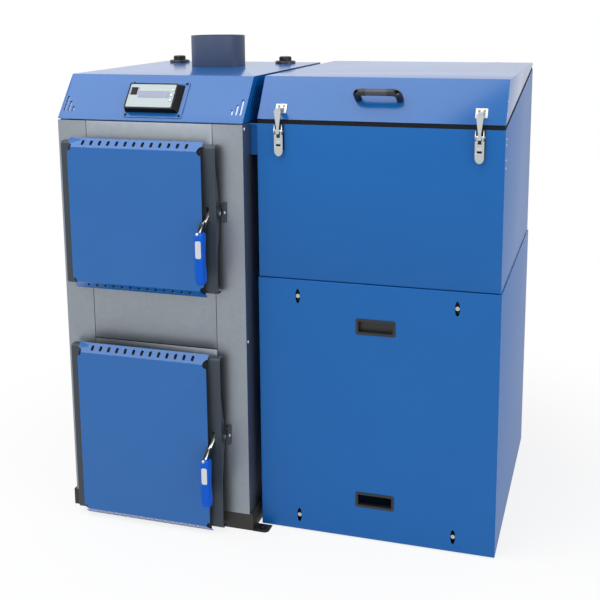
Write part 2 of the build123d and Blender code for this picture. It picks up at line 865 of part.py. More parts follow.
def door_body(z_low, z_high, lows):
    """Door plate bent to the rear above and below, with hinge halves, latch slot, rib and cheek."""
    latch_z = (z_low + z_high) / 2 + latch_above_middle
    rib_outline = [
        (door_back, latch_z + rib_half_length),
        (door_back, latch_z - rib_half_length),
        (door_back + rib_depth, latch_z - cheek_half_length / 2),
        (door_back + rib_depth, latch_z + cheek_half_length / 2),
    ]
    cheek_left = lever_x - lever_thickness / 2 - seat_gap - rib_thickness
    with BuildPart() as body:
        with BuildSketch(Plane.YZ.offset(door_x)):
            with BuildLine():
                Polyline(
                    (door_front + door_flange, z_low),
                    (door_front, z_low),
                    (door_front, z_high),
                    (door_front + door_flange, z_high),
                    (door_front + door_flange, z_high - heavy_sheet),
                    (door_back, z_high - heavy_sheet),
                    (door_back, z_low + heavy_sheet),
                    (door_front + door_flange, z_low + heavy_sheet),
                    close=True,
                )
            make_face()
        extrude(amount=door_width)
        bends = body.edges().filter_by(Axis.X).group_by(Axis.Y)
        fillet(bends[0], door_bend)
        fillet(bends[1], door_bend - heavy_sheet)
        for low in lows:
            with BuildSketch(Plane.XY.offset(low + hinge_height + seat_gap)):
                with Locations((hinge_x, hinge_y)):
                    Circle(hinge_radius)
                with Locations((hinge_x, (hinge_y + door_back) / 2)):
                    Rectangle(hinge_web, hinge_y - door_back)
                with Locations((hinge_x, hinge_y)):
                    Circle(hinge_pin_radius + running_gap, mode=Mode.SUBTRACT)
            extrude(amount=hinge_height)
        for plate_x in (door_right - rib_thickness, cheek_left):
            with BuildSketch(Plane.YZ.offset(plate_x)):
                with BuildLine():
                    Polyline(*rib_outline, close=True)
                make_face()
            extrude(amount=rib_thickness)
        with BuildSketch(Plane.YZ.offset(cheek_left - overrun)):
            with Locations((pivot_y, latch_z)):
                Circle(shaft_radius + running_gap)
        extrude(amount=door_right - cheek_left + 2 * overrun, mode=Mode.SUBTRACT)
        with BuildSketch(Plane.XZ.offset(-door_back - overrun)):
            with Locations((lever_x, latch_z)):
                RectangleRounded(slot_width, 2 * slot_half_height, slot_corner)
        extrude(amount=heavy_sheet + 2 * overrun, mode=Mode.SUBTRACT)
    return body


upper_door_body = door_body(upper_door_bottom, upper_door_top, hinge_lows[0:2])
upper_door_body.part.label = "upper_door_body"
export_step(upper_door_body.part, "parts/upper_door_body.step")

lower_door_body = door_body(lower_door_bottom, lower_door_top, hinge_lows[2:4])
lower_door_body.part.label = "lower_door_body"
export_step(lower_door_body.part, "parts/lower_door_body.step")


def door_cover(z_low, z_high):
    """Blue sheet in front of a door: slanted returns with oval holes, on four welded studs."""
    low = z_low + cover_inset_z
    high = z_high - cover_inset_z
    left = door_x + cover_inset_x
    right = door_right - cover_inset_x
    skin_y = door_front - cover_stand_off
    return_y = cover_return - sheet
    hole_pitch = (right - left) * cover_hole_row_share / cover_hole_count
    with BuildPart() as cover:
        with BuildSketch(Plane.YZ.offset(left)):
            with BuildLine():
                Polyline(
                    (skin_y + return_y, high + return_y),
                    (skin_y, high),
                    (skin_y, low),
                    (skin_y + return_y, low - return_y),
                    (skin_y + return_y, low - return_y + 2 * sheet),
                    (skin_y + sheet, low + sheet / 2),
                    (skin_y + sheet, high - sheet / 2),
                    (skin_y + return_y, high + return_y - 2 * sheet),
                    close=True,
                )
            make_face()
        extrude(amount=right - left)
        for bend_z, turn in ((high, 1), (low, -1)):
            bend_plane = Plane(
                origin=((left + right) / 2, skin_y, bend_z), x_dir=(1, 0, 0), z_dir=(0, -1, turn)
            )
            with BuildSketch(bend_plane.offset(-2 * sheet - overrun)):
                with Locations((0, turn * return_y / cos(radians(45)) / 2)):
                    with GridLocations(hole_pitch, 0, cover_hole_count, 1):
                        SlotOverall(cover_hole_length, cover_hole_width, rotation=90)
            extrude(amount=2 * sheet + 2 * overrun, mode=Mode.SUBTRACT)
            with BuildSketch(Plane.XZ.offset(-skin_y - cover_stand_off)):
                with Locations((left, bend_z), (right, bend_z)):
                    Circle(cover_notch_radius)
            extrude(amount=cover_stand_off + overrun, mode=Mode.SUBTRACT)
        with BuildSketch(Plane.XZ.offset(-door_front)):
            with Locations(((left + right) / 2, (low + high) / 2)):
                with GridLocations((right - left) / 2, (high - low) / 2, 2, 2):
                    Circle(stud_radius)
        extrude(amount=cover_stand_off - sheet)
    return cover


upper_door_cover = door_cover(upper_door_bottom, upper_door_top)
upper_door_cover.part.label = "upper_door_cover"
export_step(upper_door_cover.part, "parts/upper_door_cover.step")

lower_door_cover = door_cover(lower_door_bottom, lower_door_top)
lower_door_cover.part.label = "lower_door_cover"
export_step(lower_door_cover.part, "parts/lower_door_cover.step")


def seal_rope(collar):
    """Square rope round the inside of a door, pressed against the collar."""
    with BuildPart() as rope:
        with BuildSketch(Plane.XZ.offset(-door_back)):
            with Locations(((collar_left + collar_right) / 2, (collar[0] + collar[1]) / 2)):
                Rectangle(collar_right - collar_left, collar[1] - collar[0])
                Rectangle(
                    collar_right - collar_left - 2 * seal_width,
                    collar[1] - collar[0] - 2 * seal_width,
                    mode=Mode.SUBTRACT,
                )
        extrude(amount=-(collar_front - seat_gap - door_back))
        fillet(rope.faces().sort_by(Axis.Y)[-1].edges(), seal_width / 4)
    return rope


upper_door_seal = seal_rope(upper_collar)
upper_door_seal.part.label = "upper_door_seal"
export_step(upper_door_seal.part, "parts/upper_door_seal.step")

lower_door_seal = seal_rope(lower_collar)
lower_door_seal.part.label = "lower_door_seal"
export_step(lower_door_seal.part, "parts/lower_door_seal.step")


def refractory_slab(collar):
    """Fireproof slab inside the rope, reaching a little way into the collar."""
    with BuildPart() as block:
        slab(
            (collar_left + seal_width, collar_right - seal_width),
            (door_back, collar_front + refractory_reach),
            (collar[0] + seal_width, collar[1] - seal_width),
        )
        chamfer(block.faces().sort_by(Axis.Y)[-1].edges(), refractory_gap)
    return block


upper_door_refractory = refractory_slab(upper_collar)
upper_door_refractory.part.label = "upper_door_refractory"
export_step(upper_door_refractory.part, "parts/upper_door_refractory.step")

lower_door_refractory = refractory_slab(lower_collar)
lower_door_refractory.part.label = "lower_door_refractory"
export_step(lower_door_refractory.part, "parts/lower_door_refractory.step")

# Latch places, shared by the levers, the grips and the keepers
upper_latch_z = (upper_door_bottom + upper_door_top) / 2 + latch_above_middle
lower_latch_z = (lower_door_bottom + lower_door_top) / 2 + latch_above_middle
grip_front = front_y - grip_reach
grip_back = grip_front + grip_depth
tang_y = (grip_front + grip_back) / 2
tang_drop = (pivot_y - tang_y) * sin(radians(lever_slope)) / cos(radians(lever_slope))
hook_left = door_right + seat_gap


def latch_lever(latch_z):
    """Lever: bar through the slot, tang in the grip, shaft through both plates, hook at its end."""
    tang_top = latch_z - tang_drop
    bar_half = lever_bar / 2 / cos(radians(lever_slope))
    with BuildPart() as lever:
        with BuildSketch(Plane.YZ.offset(lever_x - lever_thickness / 2)):
            with BuildLine():
                Polyline(
                    (pivot_y, latch_z + bar_half),
                    (tang_y - tang_depth / 2, tang_top + bar_half),
                    (tang_y - tang_depth / 2, tang_top - tang_length),
                    (tang_y + tang_depth / 2, tang_top - tang_length),
                    (tang_y + tang_depth / 2, tang_top - bar_half + tang_depth / 4),
                    (pivot_y, latch_z - bar_half),
                    close=True,
                )
            make_face()
            with Locations((pivot_y, latch_z)):
                Circle(shaft_radius + lever_bar / 4)
        extrude(amount=lever_thickness)
        shaft_left = lever_x - lever_thickness / 2 - seat_gap - rib_thickness
        with BuildSketch(Plane.YZ.offset(shaft_left)):
            with Locations((pivot_y, latch_z)):
                Circle(shaft_radius)
        extrude(amount=hook_left + hook_thickness + shaft_end_length - shaft_left)
        with BuildSketch(Plane.YZ.offset(hook_left)):
            with Locations((pivot_y, latch_z)):
                Circle(hook_disc_radius)
            finger_mid = hook_tip_radius / 2
            with Locations(
                (
                    pivot_y + finger_mid * cos(radians(hook_tip_angle)),
                    latch_z + finger_mid * sin(radians(hook_tip_angle)),
                )
            ):
                Rectangle(hook_tip_radius, hook_finger_width, rotation=hook_tip_angle)
        extrude(amount=hook_thickness)
    return lever


upper_latch_lever = latch_lever(upper_latch_z)
upper_latch_lever.part.label = "upper_latch_lever"
export_step(upper_latch_lever.part, "parts/upper_latch_lever.step")

lower_latch_lever = latch_lever(lower_latch_z)
lower_latch_lever.part.label = "lower_latch_lever"
export_step(lower_latch_lever.part, "parts/lower_latch_lever.step")


def latch_grip(latch_z):
    """Plastic grip on the lever's tang: drawn in at the back, with a swell near its foot."""
    top = latch_z - tang_drop + tang_depth / 2
    foot = top - grip_length
    with BuildPart() as grip:
        with BuildSketch(Plane.YZ.offset(lever_x - grip_width / 2)):
            with BuildLine():
                front = Line((grip_front, top - grip_depth / 4), (grip_front, foot + grip_depth / 2))
                lower = Spline(
                    front @ 1, (tang_y, foot), (grip_back, foot + grip_depth), tangents=((0, -1), (0, 1))
                )
                swell = Spline(
                    lower @ 1,
                    (grip_front + grip_waist, foot + grip_length / 2),
                    (grip_back, top - grip_depth / 2),
                    tangents=((0, 1), (0, 1)),
                )
                Polyline(swell @ 1, (grip_back, top - grip_depth / 4), (tang_y, top), front @ 0)
            make_face()
        extrude(amount=grip_width)
        outer_edges = grip.faces().filter_by(Axis.X).edges()
        fillet(outer_edges, grip_width / 8)
        slab(
            (lever_x - lever_thickness / 2 - tang_gap, lever_x + lever_thickness / 2 + tang_gap),
            (tang_y - tang_depth / 2 - tang_gap, tang_y + tang_depth / 2 + tang_gap),
            (latch_z - tang_drop - tang_length - tang_gap, top + overrun),
            mode=Mode.SUBTRACT,
        )
        slab(
            (lever_x - lever_thickness / 2 - tang_gap, lever_x + lever_thickness / 2 + tang_gap),
            (tang_y, grip_back + overrun),
            (latch_z - tang_drop - tang_depth, top + overrun),
            mode=Mode.SUBTRACT,
        )
    return grip


upper_latch_grip = latch_grip(upper_latch_z)
upper_latch_grip.part.label = "upper_latch_grip"
export_step(upper_latch_grip.part, "parts/upper_latch_grip.step")

lower_latch_grip = latch_grip(lower_latch_z)
lower_latch_grip.part.label = "lower_latch_grip"
export_step(lower_latch_grip.part, "parts/lower_latch_grip.step")

# Latch keepers: upright plates on the casing's right flange, each with a pin above the lever's hook
keeper_left = hook_left + hook_thickness + shaft_end_length + keeper_side_gap
keeper_y = pivot_y + hook_tip_radius * cos(radians(hook_tip_angle))
hook_top = hook_tip_radius * sin(radians(hook_tip_angle)) + hook_finger_width / 2
keeper_lift = hook_top + keeper_pin_radius + hook_gap
with BuildPart() as latch_keepers:
    for latch_z in (upper_latch_z, lower_latch_z):
        keeper_z = (latch_z - keeper_height / 2, latch_z + keeper_height / 2)
        with BuildSketch(Plane.YZ.offset(hook_left - seat_gap)):
            with Locations((keeper_y, latch_z + keeper_lift)):
                Circle(keeper_pin_radius)
        extrude(amount=keeper_left + keeper_plate - hook_left + seat_gap)
        plate_y = (keeper_y - keeper_pin_radius - sheet, front_y)
        slab((keeper_left, keeper_left + keeper_plate), plate_y, keeper_z)
        slab((keeper_left, keeper_left + keeper_foot), (front_y - heavy_sheet, front_y), keeper_z)
latch_keepers.part.label = "latch_keepers"
export_step(latch_keepers.part, "parts/latch_keepers.step")

# Axis of the rocker switch, across the boiler, below the control unit's face
face_top = housing_depth + face_thickness
rocker_axis = Plane(
    origin=slope_plane.offset(face_top - rocker_depth / 2).from_local_coords(Vector(*rocker_place, 0)),
    x_dir=slope_plane.y_dir,
    z_dir=(1, 0, 0),
)
rocker_pin_half = rocker_width / 2 + rocker_lug
lug_aside = rocker_pin_half + seat_gap - rocker_lug / 2

# Control housing: moulded box with a mounting plate, screwed on the hood's slope, with lugs for the rocker
with BuildPart() as control_housing:
    with BuildSketch(slope_plane):
        with Locations(control_place):
            Rectangle(control_plate_width, control_plate_height)
    extrude(amount=control_plate)
    with BuildSketch(slope_plane.offset(control_plate)):
        with Locations(housing_place):
            Rectangle(housing_width, housing_height)
    with BuildSketch(slope_plane.offset(housing_depth)):
        with Locations(face_place):
            Rectangle(face_width, face_height)
    loft()
    with BuildSketch(slope_plane.offset(housing_depth - face_pocket_depth)):
        with Locations(face_place):
            Rectangle(face_width - 2 * face_pocket_edge, face_height - 2 * face_pocket_edge)
    extrude(amount=face_pocket_depth + overrun, mode=Mode.SUBTRACT)
    with BuildSketch(slope_plane.offset(housing_depth - face_pocket_depth)):
        with Locations(rocker_place):
            with GridLocations(2 * lug_aside, 0, 2, 1):
                Rectangle(rocker_lug, 4 * rocker_pin_radius)
    extrude(amount=face_pocket_depth - seat_gap)
    with BuildSketch(rocker_axis.offset(-rocker_pin_half - seat_gap)):
        Circle(rocker_pin_radius + running_gap)
    extrude(amount=2 * (rocker_pin_half + seat_gap), mode=Mode.SUBTRACT)
control_housing.part.label = "control_housing"
export_step(control_housing.part, "parts/control_housing.step")

# Control face: flat plate with openings for the display, the rocker and the three buttons
with BuildPart() as control_face:
    with BuildSketch(slope_plane.offset(housing_depth)):
        with Locations(face_place):
            RectangleRounded(face_width, face_height, face_pocket_edge)
        with Locations(display_place):
            Rectangle(display_width + 2 * seat_gap, display_height + 2 * seat_gap, mode=Mode.SUBTRACT)
        with Locations(rocker_place):
            Rectangle(rocker_width + 2 * seat_gap, rocker_height + 2 * rocker_play, mode=Mode.SUBTRACT)
        with Locations(*button_places):
            Circle(button_radius + seat_gap, mode=Mode.SUBTRACT)
    extrude(amount=face_thickness)
control_face.part.label = "control_face"
export_step(control_face.part, "parts/control_face.step")

# Display: glass of the control unit, a little below the face
with BuildPart() as display_window:
    with BuildSketch(slope_plane.offset(face_top - display_recess - display_depth)):
        with Locations(display_place):
            Rectangle(display_width, display_height)
    extrude(amount=display_depth)
display_window.part.label = "display_window"
export_step(display_window.part, "parts/display_window.step")

# Rocker switch: hollowed across its top, tilting on two short pins in the housing's lugs
rocker_reach = rocker_height / 2 + rocker_play
with BuildPart() as rocker_switch:
    with BuildSketch(slope_plane.offset(face_top - rocker_depth)):
        with Locations(rocker_place):
            Rectangle(rocker_width, rocker_height)
    extrude(amount=rocker_depth + rocker_rise)
    with BuildSketch(rocker_axis.offset(-rocker_pin_half)):
        Circle(rocker_pin_radius)
    extrude(amount=2 * rocker_pin_half)
    rocker_side = Plane(
        origin=slope_plane.offset(face_top).from_local_coords(Vector(*rocker_place, 0)),
        x_dir=slope_plane.y_dir,
        z_dir=(1, 0, 0),
    )
    with BuildSketch(rocker_side.offset(-rocker_width)):
        with BuildLine():
            hollow = ThreePointArc(
                (-rocker_reach, rocker_rise), (0, rocker_rise / 4), (rocker_reach, rocker_rise)
            )
            Polyline(
                hollow @ 1,
                (rocker_reach, 2 * rocker_rise),
                (-rocker_reach, 2 * rocker_rise),
                hollow @ 0,
            )
        make_face()
    extrude(amount=2 * rocker_width, mode=Mode.SUBTRACT)
rocker_switch.part.label = "rocker_switch"
export_step(rocker_switch.part, "parts/rocker_switch.step")


def push_button(place):
    """Round push button with a softened edge."""
    with BuildPart() as button:
        with BuildSketch(slope_plane.offset(face_top + button_rise - button_length)):
            with Locations(place):
                Circle(button_radius)
        extrude(amount=button_length)
        fillet(button.faces().sort_by(Axis.Z)[-1].edges(), button_rise / 2)
    return button


lower_button = push_button(button_places[0])
lower_button.part.label = "lower_button"
export_step(lower_button.part, "parts/lower_button.step")

middle_button = push_button(button_places[1])
middle_button.part.label = "middle_button"
export_step(middle_button.part, "parts/middle_button.step")

upper_button = push_button(button_places[2])
upper_button.part.label = "upper_button"
export_step(upper_button.part, "parts/upper_button.step")

# Hopper frame: floor plate, posts and rings of square tube, crossbars behind the panel, stands for the feed
panel_rear = case_front + panel_return + seam_gap
frame_x = (case_left + sheet + seat_gap, case_right - sheet - seat_gap)
frame_y = (panel_rear + sheet + seat_gap, case_rear - sheet - seat_gap)
frame_top = hopper_split - sheet
auger_x = (hopper_x + auger_tube_start, feed_centre_x + auger_tube_past_spout)
motor_x = (auger_x[1], auger_x[1] + motor_length)
burner_x = (hopper_x + burner_box_start, auger_x[0])
burner_y = (feed_centre_y - burner_box_half, feed_centre_y + burner_box_half)
with BuildPart() as hopper_frame:
    slab(frame_x, frame_y, (0, heavy_sheet))
    for ring in ((0, frame_foot), (frame_top - frame_bar, frame_top)):
        slab(frame_x, (frame_y[0], frame_y[0] + frame_bar), ring)
        slab(frame_x, (frame_y[1] - frame_bar, frame_y[1]), ring)
        slab((frame_x[0], frame_x[0] + frame_bar), frame_y, ring)
        slab((frame_x[1] - frame_bar, frame_x[1]), frame_y, ring)
    for post_x in ((frame_x[0], frame_x[0] + frame_bar), (frame_x[1] - frame_bar, frame_x[1])):
        slab(post_x, (frame_y[0], frame_y[0] + frame_bar), (0, frame_top))
        slab(post_x, (frame_y[1] - frame_bar, frame_y[1]), (0, frame_top))
    for bar_z in (oval_low, oval_high):
        slab(
            frame_x,
            (frame_y[0], frame_y[0] + heavy_sheet),
            (bar_z - crossbar_height / 2, min(bar_z + crossbar_height / 2, frame_top)),
        )
    stand_y = (feed_centre_y - frame_bar, feed_centre_y + frame_bar)
    slab(motor_x, stand_y, (0, auger_height - motor_body / 2))
    slab(burner_x, (burner_y[0] + frame_bar, burner_y[1] - frame_bar), (0, burner_box_low))
hopper_frame.part.label = "hopper_frame"
export_step(hopper_frame.part, "parts/hopper_frame.step")

# Lower casing: side and rear sheets in one, with front returns, a top flange and vents at the rear edge
foot_in = bin_foot_inset + frame_bar
with BuildPart() as lower_casing:
    slab((case_left, case_right), (panel_rear, case_rear), (hopper_foot, hopper_split))
    slab(
        (case_left + sheet, case_right - sheet),
        (panel_rear - overrun, case_rear - sheet),
        (hopper_foot - overrun, hopper_split - sheet),
        mode=Mode.SUBTRACT,
    )
    slab(
        (hopper_x + foot_in, hopper_right - foot_in),
        (hopper_front + foot_in, hopper_rear - foot_in),
        (hopper_split - sheet - overrun, hopper_split + overrun),
        mode=Mode.SUBTRACT,
    )
    for return_x in ((case_left, case_left + lip_width), (case_right - lip_width, case_right)):
        slab(return_x, (panel_rear, panel_rear + sheet), (hopper_foot, hopper_split))
    with BuildSketch(Plane.YZ.offset(case_left - overrun)):
        with Locations((feed_centre_y, nozzle_height)):
            Rectangle(2 * nozzle_clearance, 2 * nozzle_clearance)
    extrude(amount=sheet + 2 * overrun, mode=Mode.SUBTRACT)
    vent_pitch = (hopper_split - hopper_foot - 2 * vent_inset) / vent_count
    with BuildSketch(Plane.YZ.offset(case_right - sheet - overrun)):
        with Locations((case_rear - vent_inset, (hopper_foot + hopper_split) / 2)):
            with GridLocations(0, vent_pitch, 1, vent_count):
                Rectangle(vent_width, vent_height)
    extrude(amount=sheet + 2 * overrun, mode=Mode.SUBTRACT)
lower_casing.part.label = "lower_casing"
export_step(lower_casing.part, "parts/lower_casing.step")

# Service panel: tray-shaped front sheet with four oval holes and two openings for the recessed handles
oval_x = (hopper_x + oval_inset, hopper_right - oval_inset)
oval_places = [(place_x, place_z) for place_x in oval_x for place_z in (oval_low, oval_high)]
recess_places = [(hopper_mid, recess_low), (hopper_mid, recess_high)]
with BuildPart() as service_panel:
    slab((case_left, case_right), (case_front, case_front + panel_return), (hopper_foot, hopper_split))
    fillet(service_panel.faces().sort_by(Axis.Y)[0].edges(), panel_bend)
    slab(
        (case_left + sheet, case_right - sheet),
        (case_front + sheet, case_front + panel_return + overrun),
        (hopper_foot + sheet, hopper_split - sheet),
        mode=Mode.SUBTRACT,
    )
    with BuildSketch(Plane.XZ.offset(-case_front - sheet - overrun)):
        with Locations(*oval_places):
            Ellipse(oval_width / 2, oval_height / 2)
        with Locations(*recess_places):
            Rectangle(recess_width - 2 * recess_flange, recess_height - 2 * recess_flange)
    extrude(amount=sheet + 2 * overrun, mode=Mode.SUBTRACT)
service_panel.part.label = "service_panel"
export_step(service_panel.part, "parts/service_panel.step")

# Recessed handles: plastic trays clipped in the service panel, with a flange in front of it
with BuildPart() as panel_handles:
    for place in recess_places:
        with BuildSketch(Plane.XZ.offset(-case_front)):
            with Locations(place):
                RectangleRounded(recess_width, recess_height, recess_flange)
        extrude(amount=recess_lip)
        with BuildSketch(Plane.XZ.offset(-case_front)):
            with Locations(place):
                Rectangle(
                    recess_width - 2 * recess_flange - 2 * seat_gap,
                    recess_height - 2 * recess_flange - 2 * seat_gap,
                )
        extrude(amount=-recess_depth)
        with BuildSketch(Plane.XZ.offset(-case_front - recess_depth + recess_wall)):
            with Locations(place):
                RectangleRounded(
                    recess_width - 2 * recess_flange - 2 * seat_gap - 2 * recess_wall,
                    recess_height - 2 * recess_flange - 2 * seat_gap - 2 * recess_wall,
                    recess_wall,
                )
        extrude(amount=recess_depth + recess_lip + overrun, mode=Mode.SUBTRACT)
panel_handles.part.label = "panel_handles"
export_step(panel_handles.part, "parts/panel_handles.step")

# Panel studs: headed studs on the crossbars, reaching into the oval holes from behind
with BuildPart() as panel_studs:
    for place in oval_places:
        with BuildSketch(Plane.XZ.offset(-frame_y[0])):
            with Locations(place):
                Circle(panel_stud_radius)
        extrude(amount=frame_y[0] - case_front - panel_stud_recess)
        with BuildSketch(Plane.XZ.offset(-case_front - panel_stud_recess)):
            with Locations(place):
                Circle(panel_stud_head_radius)
        extrude(amount=-panel_stud_head)
panel_studs.part.label = "panel_studs"
export_step(panel_studs.part, "parts/panel_studs.step")

# Bin: four walls with a sloping rim, on a recessed foot, with a welded strip across the gap to the boiler
bin_bottom = hopper_split + bin_gap
bin_outline = [
    (hopper_front, bin_bottom),
    (hopper_rear, bin_bottom),
    (hopper_rear, bin_rear_top),
    (hopper_front, bin_front_top),
]
with BuildPart() as bin_shell:
    with BuildSketch(Plane.YZ.offset(hopper_x)):
        with BuildLine():
            Polyline(*bin_outline, close=True)
        make_face()
    extrude(amount=hopper_width)
    slab(
        (hopper_x + bin_foot_inset, hopper_right - bin_foot_inset),
        (hopper_front + bin_foot_inset, hopper_rear - bin_foot_inset),
        (hopper_split, bin_bottom),
    )
    slab(
        (hopper_x + sheet, hopper_right - sheet),
        (hopper_front + sheet, hopper_rear - sheet),
        (bin_bottom + sheet, bin_rear_top + overrun),
        mode=Mode.SUBTRACT,
    )
    slab(
        (hopper_x + foot_in, hopper_right - foot_in),
        (hopper_front + foot_in, hopper_rear - foot_in),
        (hopper_split - overrun, bin_bottom + sheet + overrun),
        mode=Mode.SUBTRACT,
    )
    slab(
        (boiler_right, hopper_x),
        (hopper_front + link_setback, hopper_front + link_setback + link_depth),
        (link_low, link_high),
    )
bin_shell.part.label = "bin_shell"
export_step(bin_shell.part, "parts/bin_shell.step")

# Funnel: four sloping sheet walls, mitred at the corners, and a spout of four plates over the auger tube
funnel_width = hopper_width - 2 * (sheet + seat_gap)
funnel_depth = hopper_depth - 2 * (sheet + seat_gap)
funnel_middle = (hopper_mid, (hopper_front + hopper_rear) / 2)
feed_centre = (feed_centre_x, feed_centre_y)
corner_signs = [(-1, -1), (1, -1), (1, 1), (-1, 1)]


def wall_plan(middle, width, depth, side):
    """Corners of one wall's section, its outer edge first, each a little short of the next wall."""
    start, end = corner_signs[side - 1], corner_signs[side]
    along_x = start[1] == end[1]
    plan = []
    for inset, ends in ((0, (start, end)), (funnel_wall, (end, start))):
        for x_sign, y_sign in ends:
            half_width = width / 2 - inset - along_x * seat_gap / 2
            half_depth = depth / 2 - inset - (not along_x) * seat_gap / 2
            plan.append((middle[0] + x_sign * half_width, middle[1] + y_sign * half_depth))
    return plan


spout_half = funnel_outlet / 2
spout_inner = spout_half - funnel_wall
spout_z = (auger_height, funnel_bottom - seat_gap)
with BuildPart() as hopper_funnel:
    for side in range(len(corner_signs)):
        with BuildSketch(Plane.XY.offset(funnel_top)):
            with BuildLine():
                Polyline(*wall_plan(funnel_middle, funnel_width, funnel_depth, side), close=True)
            make_face()
        with BuildSketch(Plane.XY.offset(funnel_bottom)):
            with BuildLine():
                Polyline(*wall_plan(feed_centre, funnel_outlet, funnel_outlet, side), close=True)
            make_face()
        loft()
    for near, far in ((-spout_half, -spout_inner), (spout_inner, spout_half)):
        slab(
            (feed_centre_x - spout_half, feed_centre_x + spout_half),
            (feed_centre_y + near, feed_centre_y + far),
            spout_z,
        )
        slab(
            (feed_centre_x + near, feed_centre_x + far),
            (feed_centre_y - spout_inner + seat_gap, feed_centre_y + spout_inner - seat_gap),
            spout_z,
        )
    with BuildSketch(Plane.YZ.offset(feed_centre_x - funnel_outlet)):
        with Locations((feed_centre_y, auger_height)):
            Circle(auger_tube_radius + seat_gap)
    extrude(amount=2 * funnel_outlet, mode=Mode.SUBTRACT)
hopper_funnel.part.label = "hopper_funnel"
export_step(hopper_funnel.part, "parts/hopper_funnel.step")

# Auger tube: steel tube along X, open on top under the spout
inlet_half = funnel_outlet / 2 - funnel_wall
with BuildPart() as auger_tube:
    with BuildSketch(Plane.YZ.offset(auger_x[0])):
        with Locations((feed_centre_y, auger_height)):
            Circle(auger_tube_radius)
            Circle(auger_tube_radius - auger_tube_wall, mode=Mode.SUBTRACT)
    extrude(amount=auger_x[1] - auger_x[0])
    slab(
        (feed_centre_x - inlet_half, feed_centre_x + inlet_half),
        (feed_centre_y - inlet_half, feed_centre_y + inlet_half),
        (auger_height, auger_height + auger_tube_radius + overrun),
        mode=Mode.SUBTRACT,
    )
auger_tube.part.label = "auger_tube"
export_step(auger_tube.part, "parts/auger_tube.step")

# Auger screw: a shaft with one helical flight, driven from its right end
flight_x = (auger_x[0] + screw_end_gap, auger_x[1] - screw_end_gap)
flight_length = flight_x[1] - flight_x[0] - screw_flight
flight_start = Vector(flight_x[0] + screw_flight / 2, feed_centre_y, auger_height)
flight_root = screw_shaft_radius / 2
flight_mid_radius = (screw_radius + flight_root) / 2
with BuildPart() as auger_screw:
    with BuildSketch(Plane.YZ.offset(flight_x[0])):
        with Locations((feed_centre_y, auger_height)):
            Circle(screw_shaft_radius)
    extrude(amount=auger_x[1] + motor_bore_depth - seat_gap - flight_x[0])
    with BuildLine() as flight_path:
        Helix(screw_pitch, flight_length, flight_mid_radius, center=flight_start, direction=(1, 0, 0))
    flight_radial = (flight_path.line @ 0) - flight_start
    with BuildSketch(Plane(origin=flight_path.line @ 0, x_dir=flight_radial, z_dir=flight_path.line % 0)):
        Rectangle(screw_radius - flight_root, screw_flight)
    sweep(path=flight_path.line, is_frenet=True)
auger_screw.part.label = "auger_screw"
export_step(auger_screw.part, "parts/auger_screw.step")

# Auger motor: a gear block with a bore for the screw's shaft, and a round motor at its right
with BuildPart() as auger_motor:
    slab(
        motor_x,
        (feed_centre_y - motor_body / 2, feed_centre_y + motor_body / 2),
        (auger_height - motor_body / 2, auger_height + motor_body / 2),
    )
    fillet(auger_motor.edges().filter_by(Axis.X), motor_body / 12)
    with BuildSketch(Plane.YZ.offset(motor_x[1])):
        with Locations((feed_centre_y, auger_height)):
            Circle(motor_can_radius)
    extrude(amount=motor_can_length)
    with BuildSketch(Plane.YZ.offset(motor_x[0])):
        with Locations((feed_centre_y, auger_height)):
            Circle(screw_shaft_radius + running_gap)
    extrude(amount=motor_bore_depth, mode=Mode.SUBTRACT)
auger_motor.part.label = "auger_motor"
export_step(auger_motor.part, "parts/auger_motor.step")

# Burner box: steel box between the auger and the boiler, open to both, with a hole for the fan's shaft
with BuildPart() as burner_box:
    slab(burner_x, burner_y, (burner_box_low, burner_box_high))
    slab(
        (burner_x[0] + burner_box_wall, burner_x[1] - burner_box_wall),
        (burner_y[0] + burner_box_wall, burner_y[1] - burner_box_wall),
        (burner_box_low + burner_box_wall, burner_box_high - burner_box_wall),
        mode=Mode.SUBTRACT,
    )
    with BuildSketch(Plane.YZ.offset(burner_x[1] - burner_box_wall - overrun)):
        with Locations((feed_centre_y, auger_height)):
            Circle(auger_tube_radius - auger_tube_wall)
    extrude(amount=burner_box_wall + 2 * overrun, mode=Mode.SUBTRACT)
    with BuildSketch(Plane.YZ.offset(burner_x[0] - overrun)):
        with Locations((feed_centre_y, nozzle_height)):
            Circle(nozzle_radius - nozzle_wall)
    extrude(amount=burner_box_wall + 2 * overrun, mode=Mode.SUBTRACT)
    with BuildSketch(Plane.XZ.offset(-burner_y[0] - burner_box_wall - overrun)):
        with Locations((impeller_x, impeller_height)):
            Circle(impeller_shaft_radius + running_gap)
    extrude(amount=burner_box_wall + 2 * overrun, mode=Mode.SUBTRACT)
burner_box.part.label = "burner_box"
export_step(burner_box.part, "parts/burner_box.step")

# Burner nozzle: round steel tube from the burner box into the ash chamber
with BuildPart() as burner_nozzle:
    with BuildSketch(Plane.YZ.offset(burner_x[0])):
        with Locations((feed_centre_y, nozzle_height)):
            Circle(nozzle_radius)
            Circle(nozzle_radius - nozzle_wall, mode=Mode.SUBTRACT)
    extrude(amount=-nozzle_reach)
burner_nozzle.part.label = "burner_nozzle"
export_step(burner_nozzle.part, "parts/burner_nozzle.step")

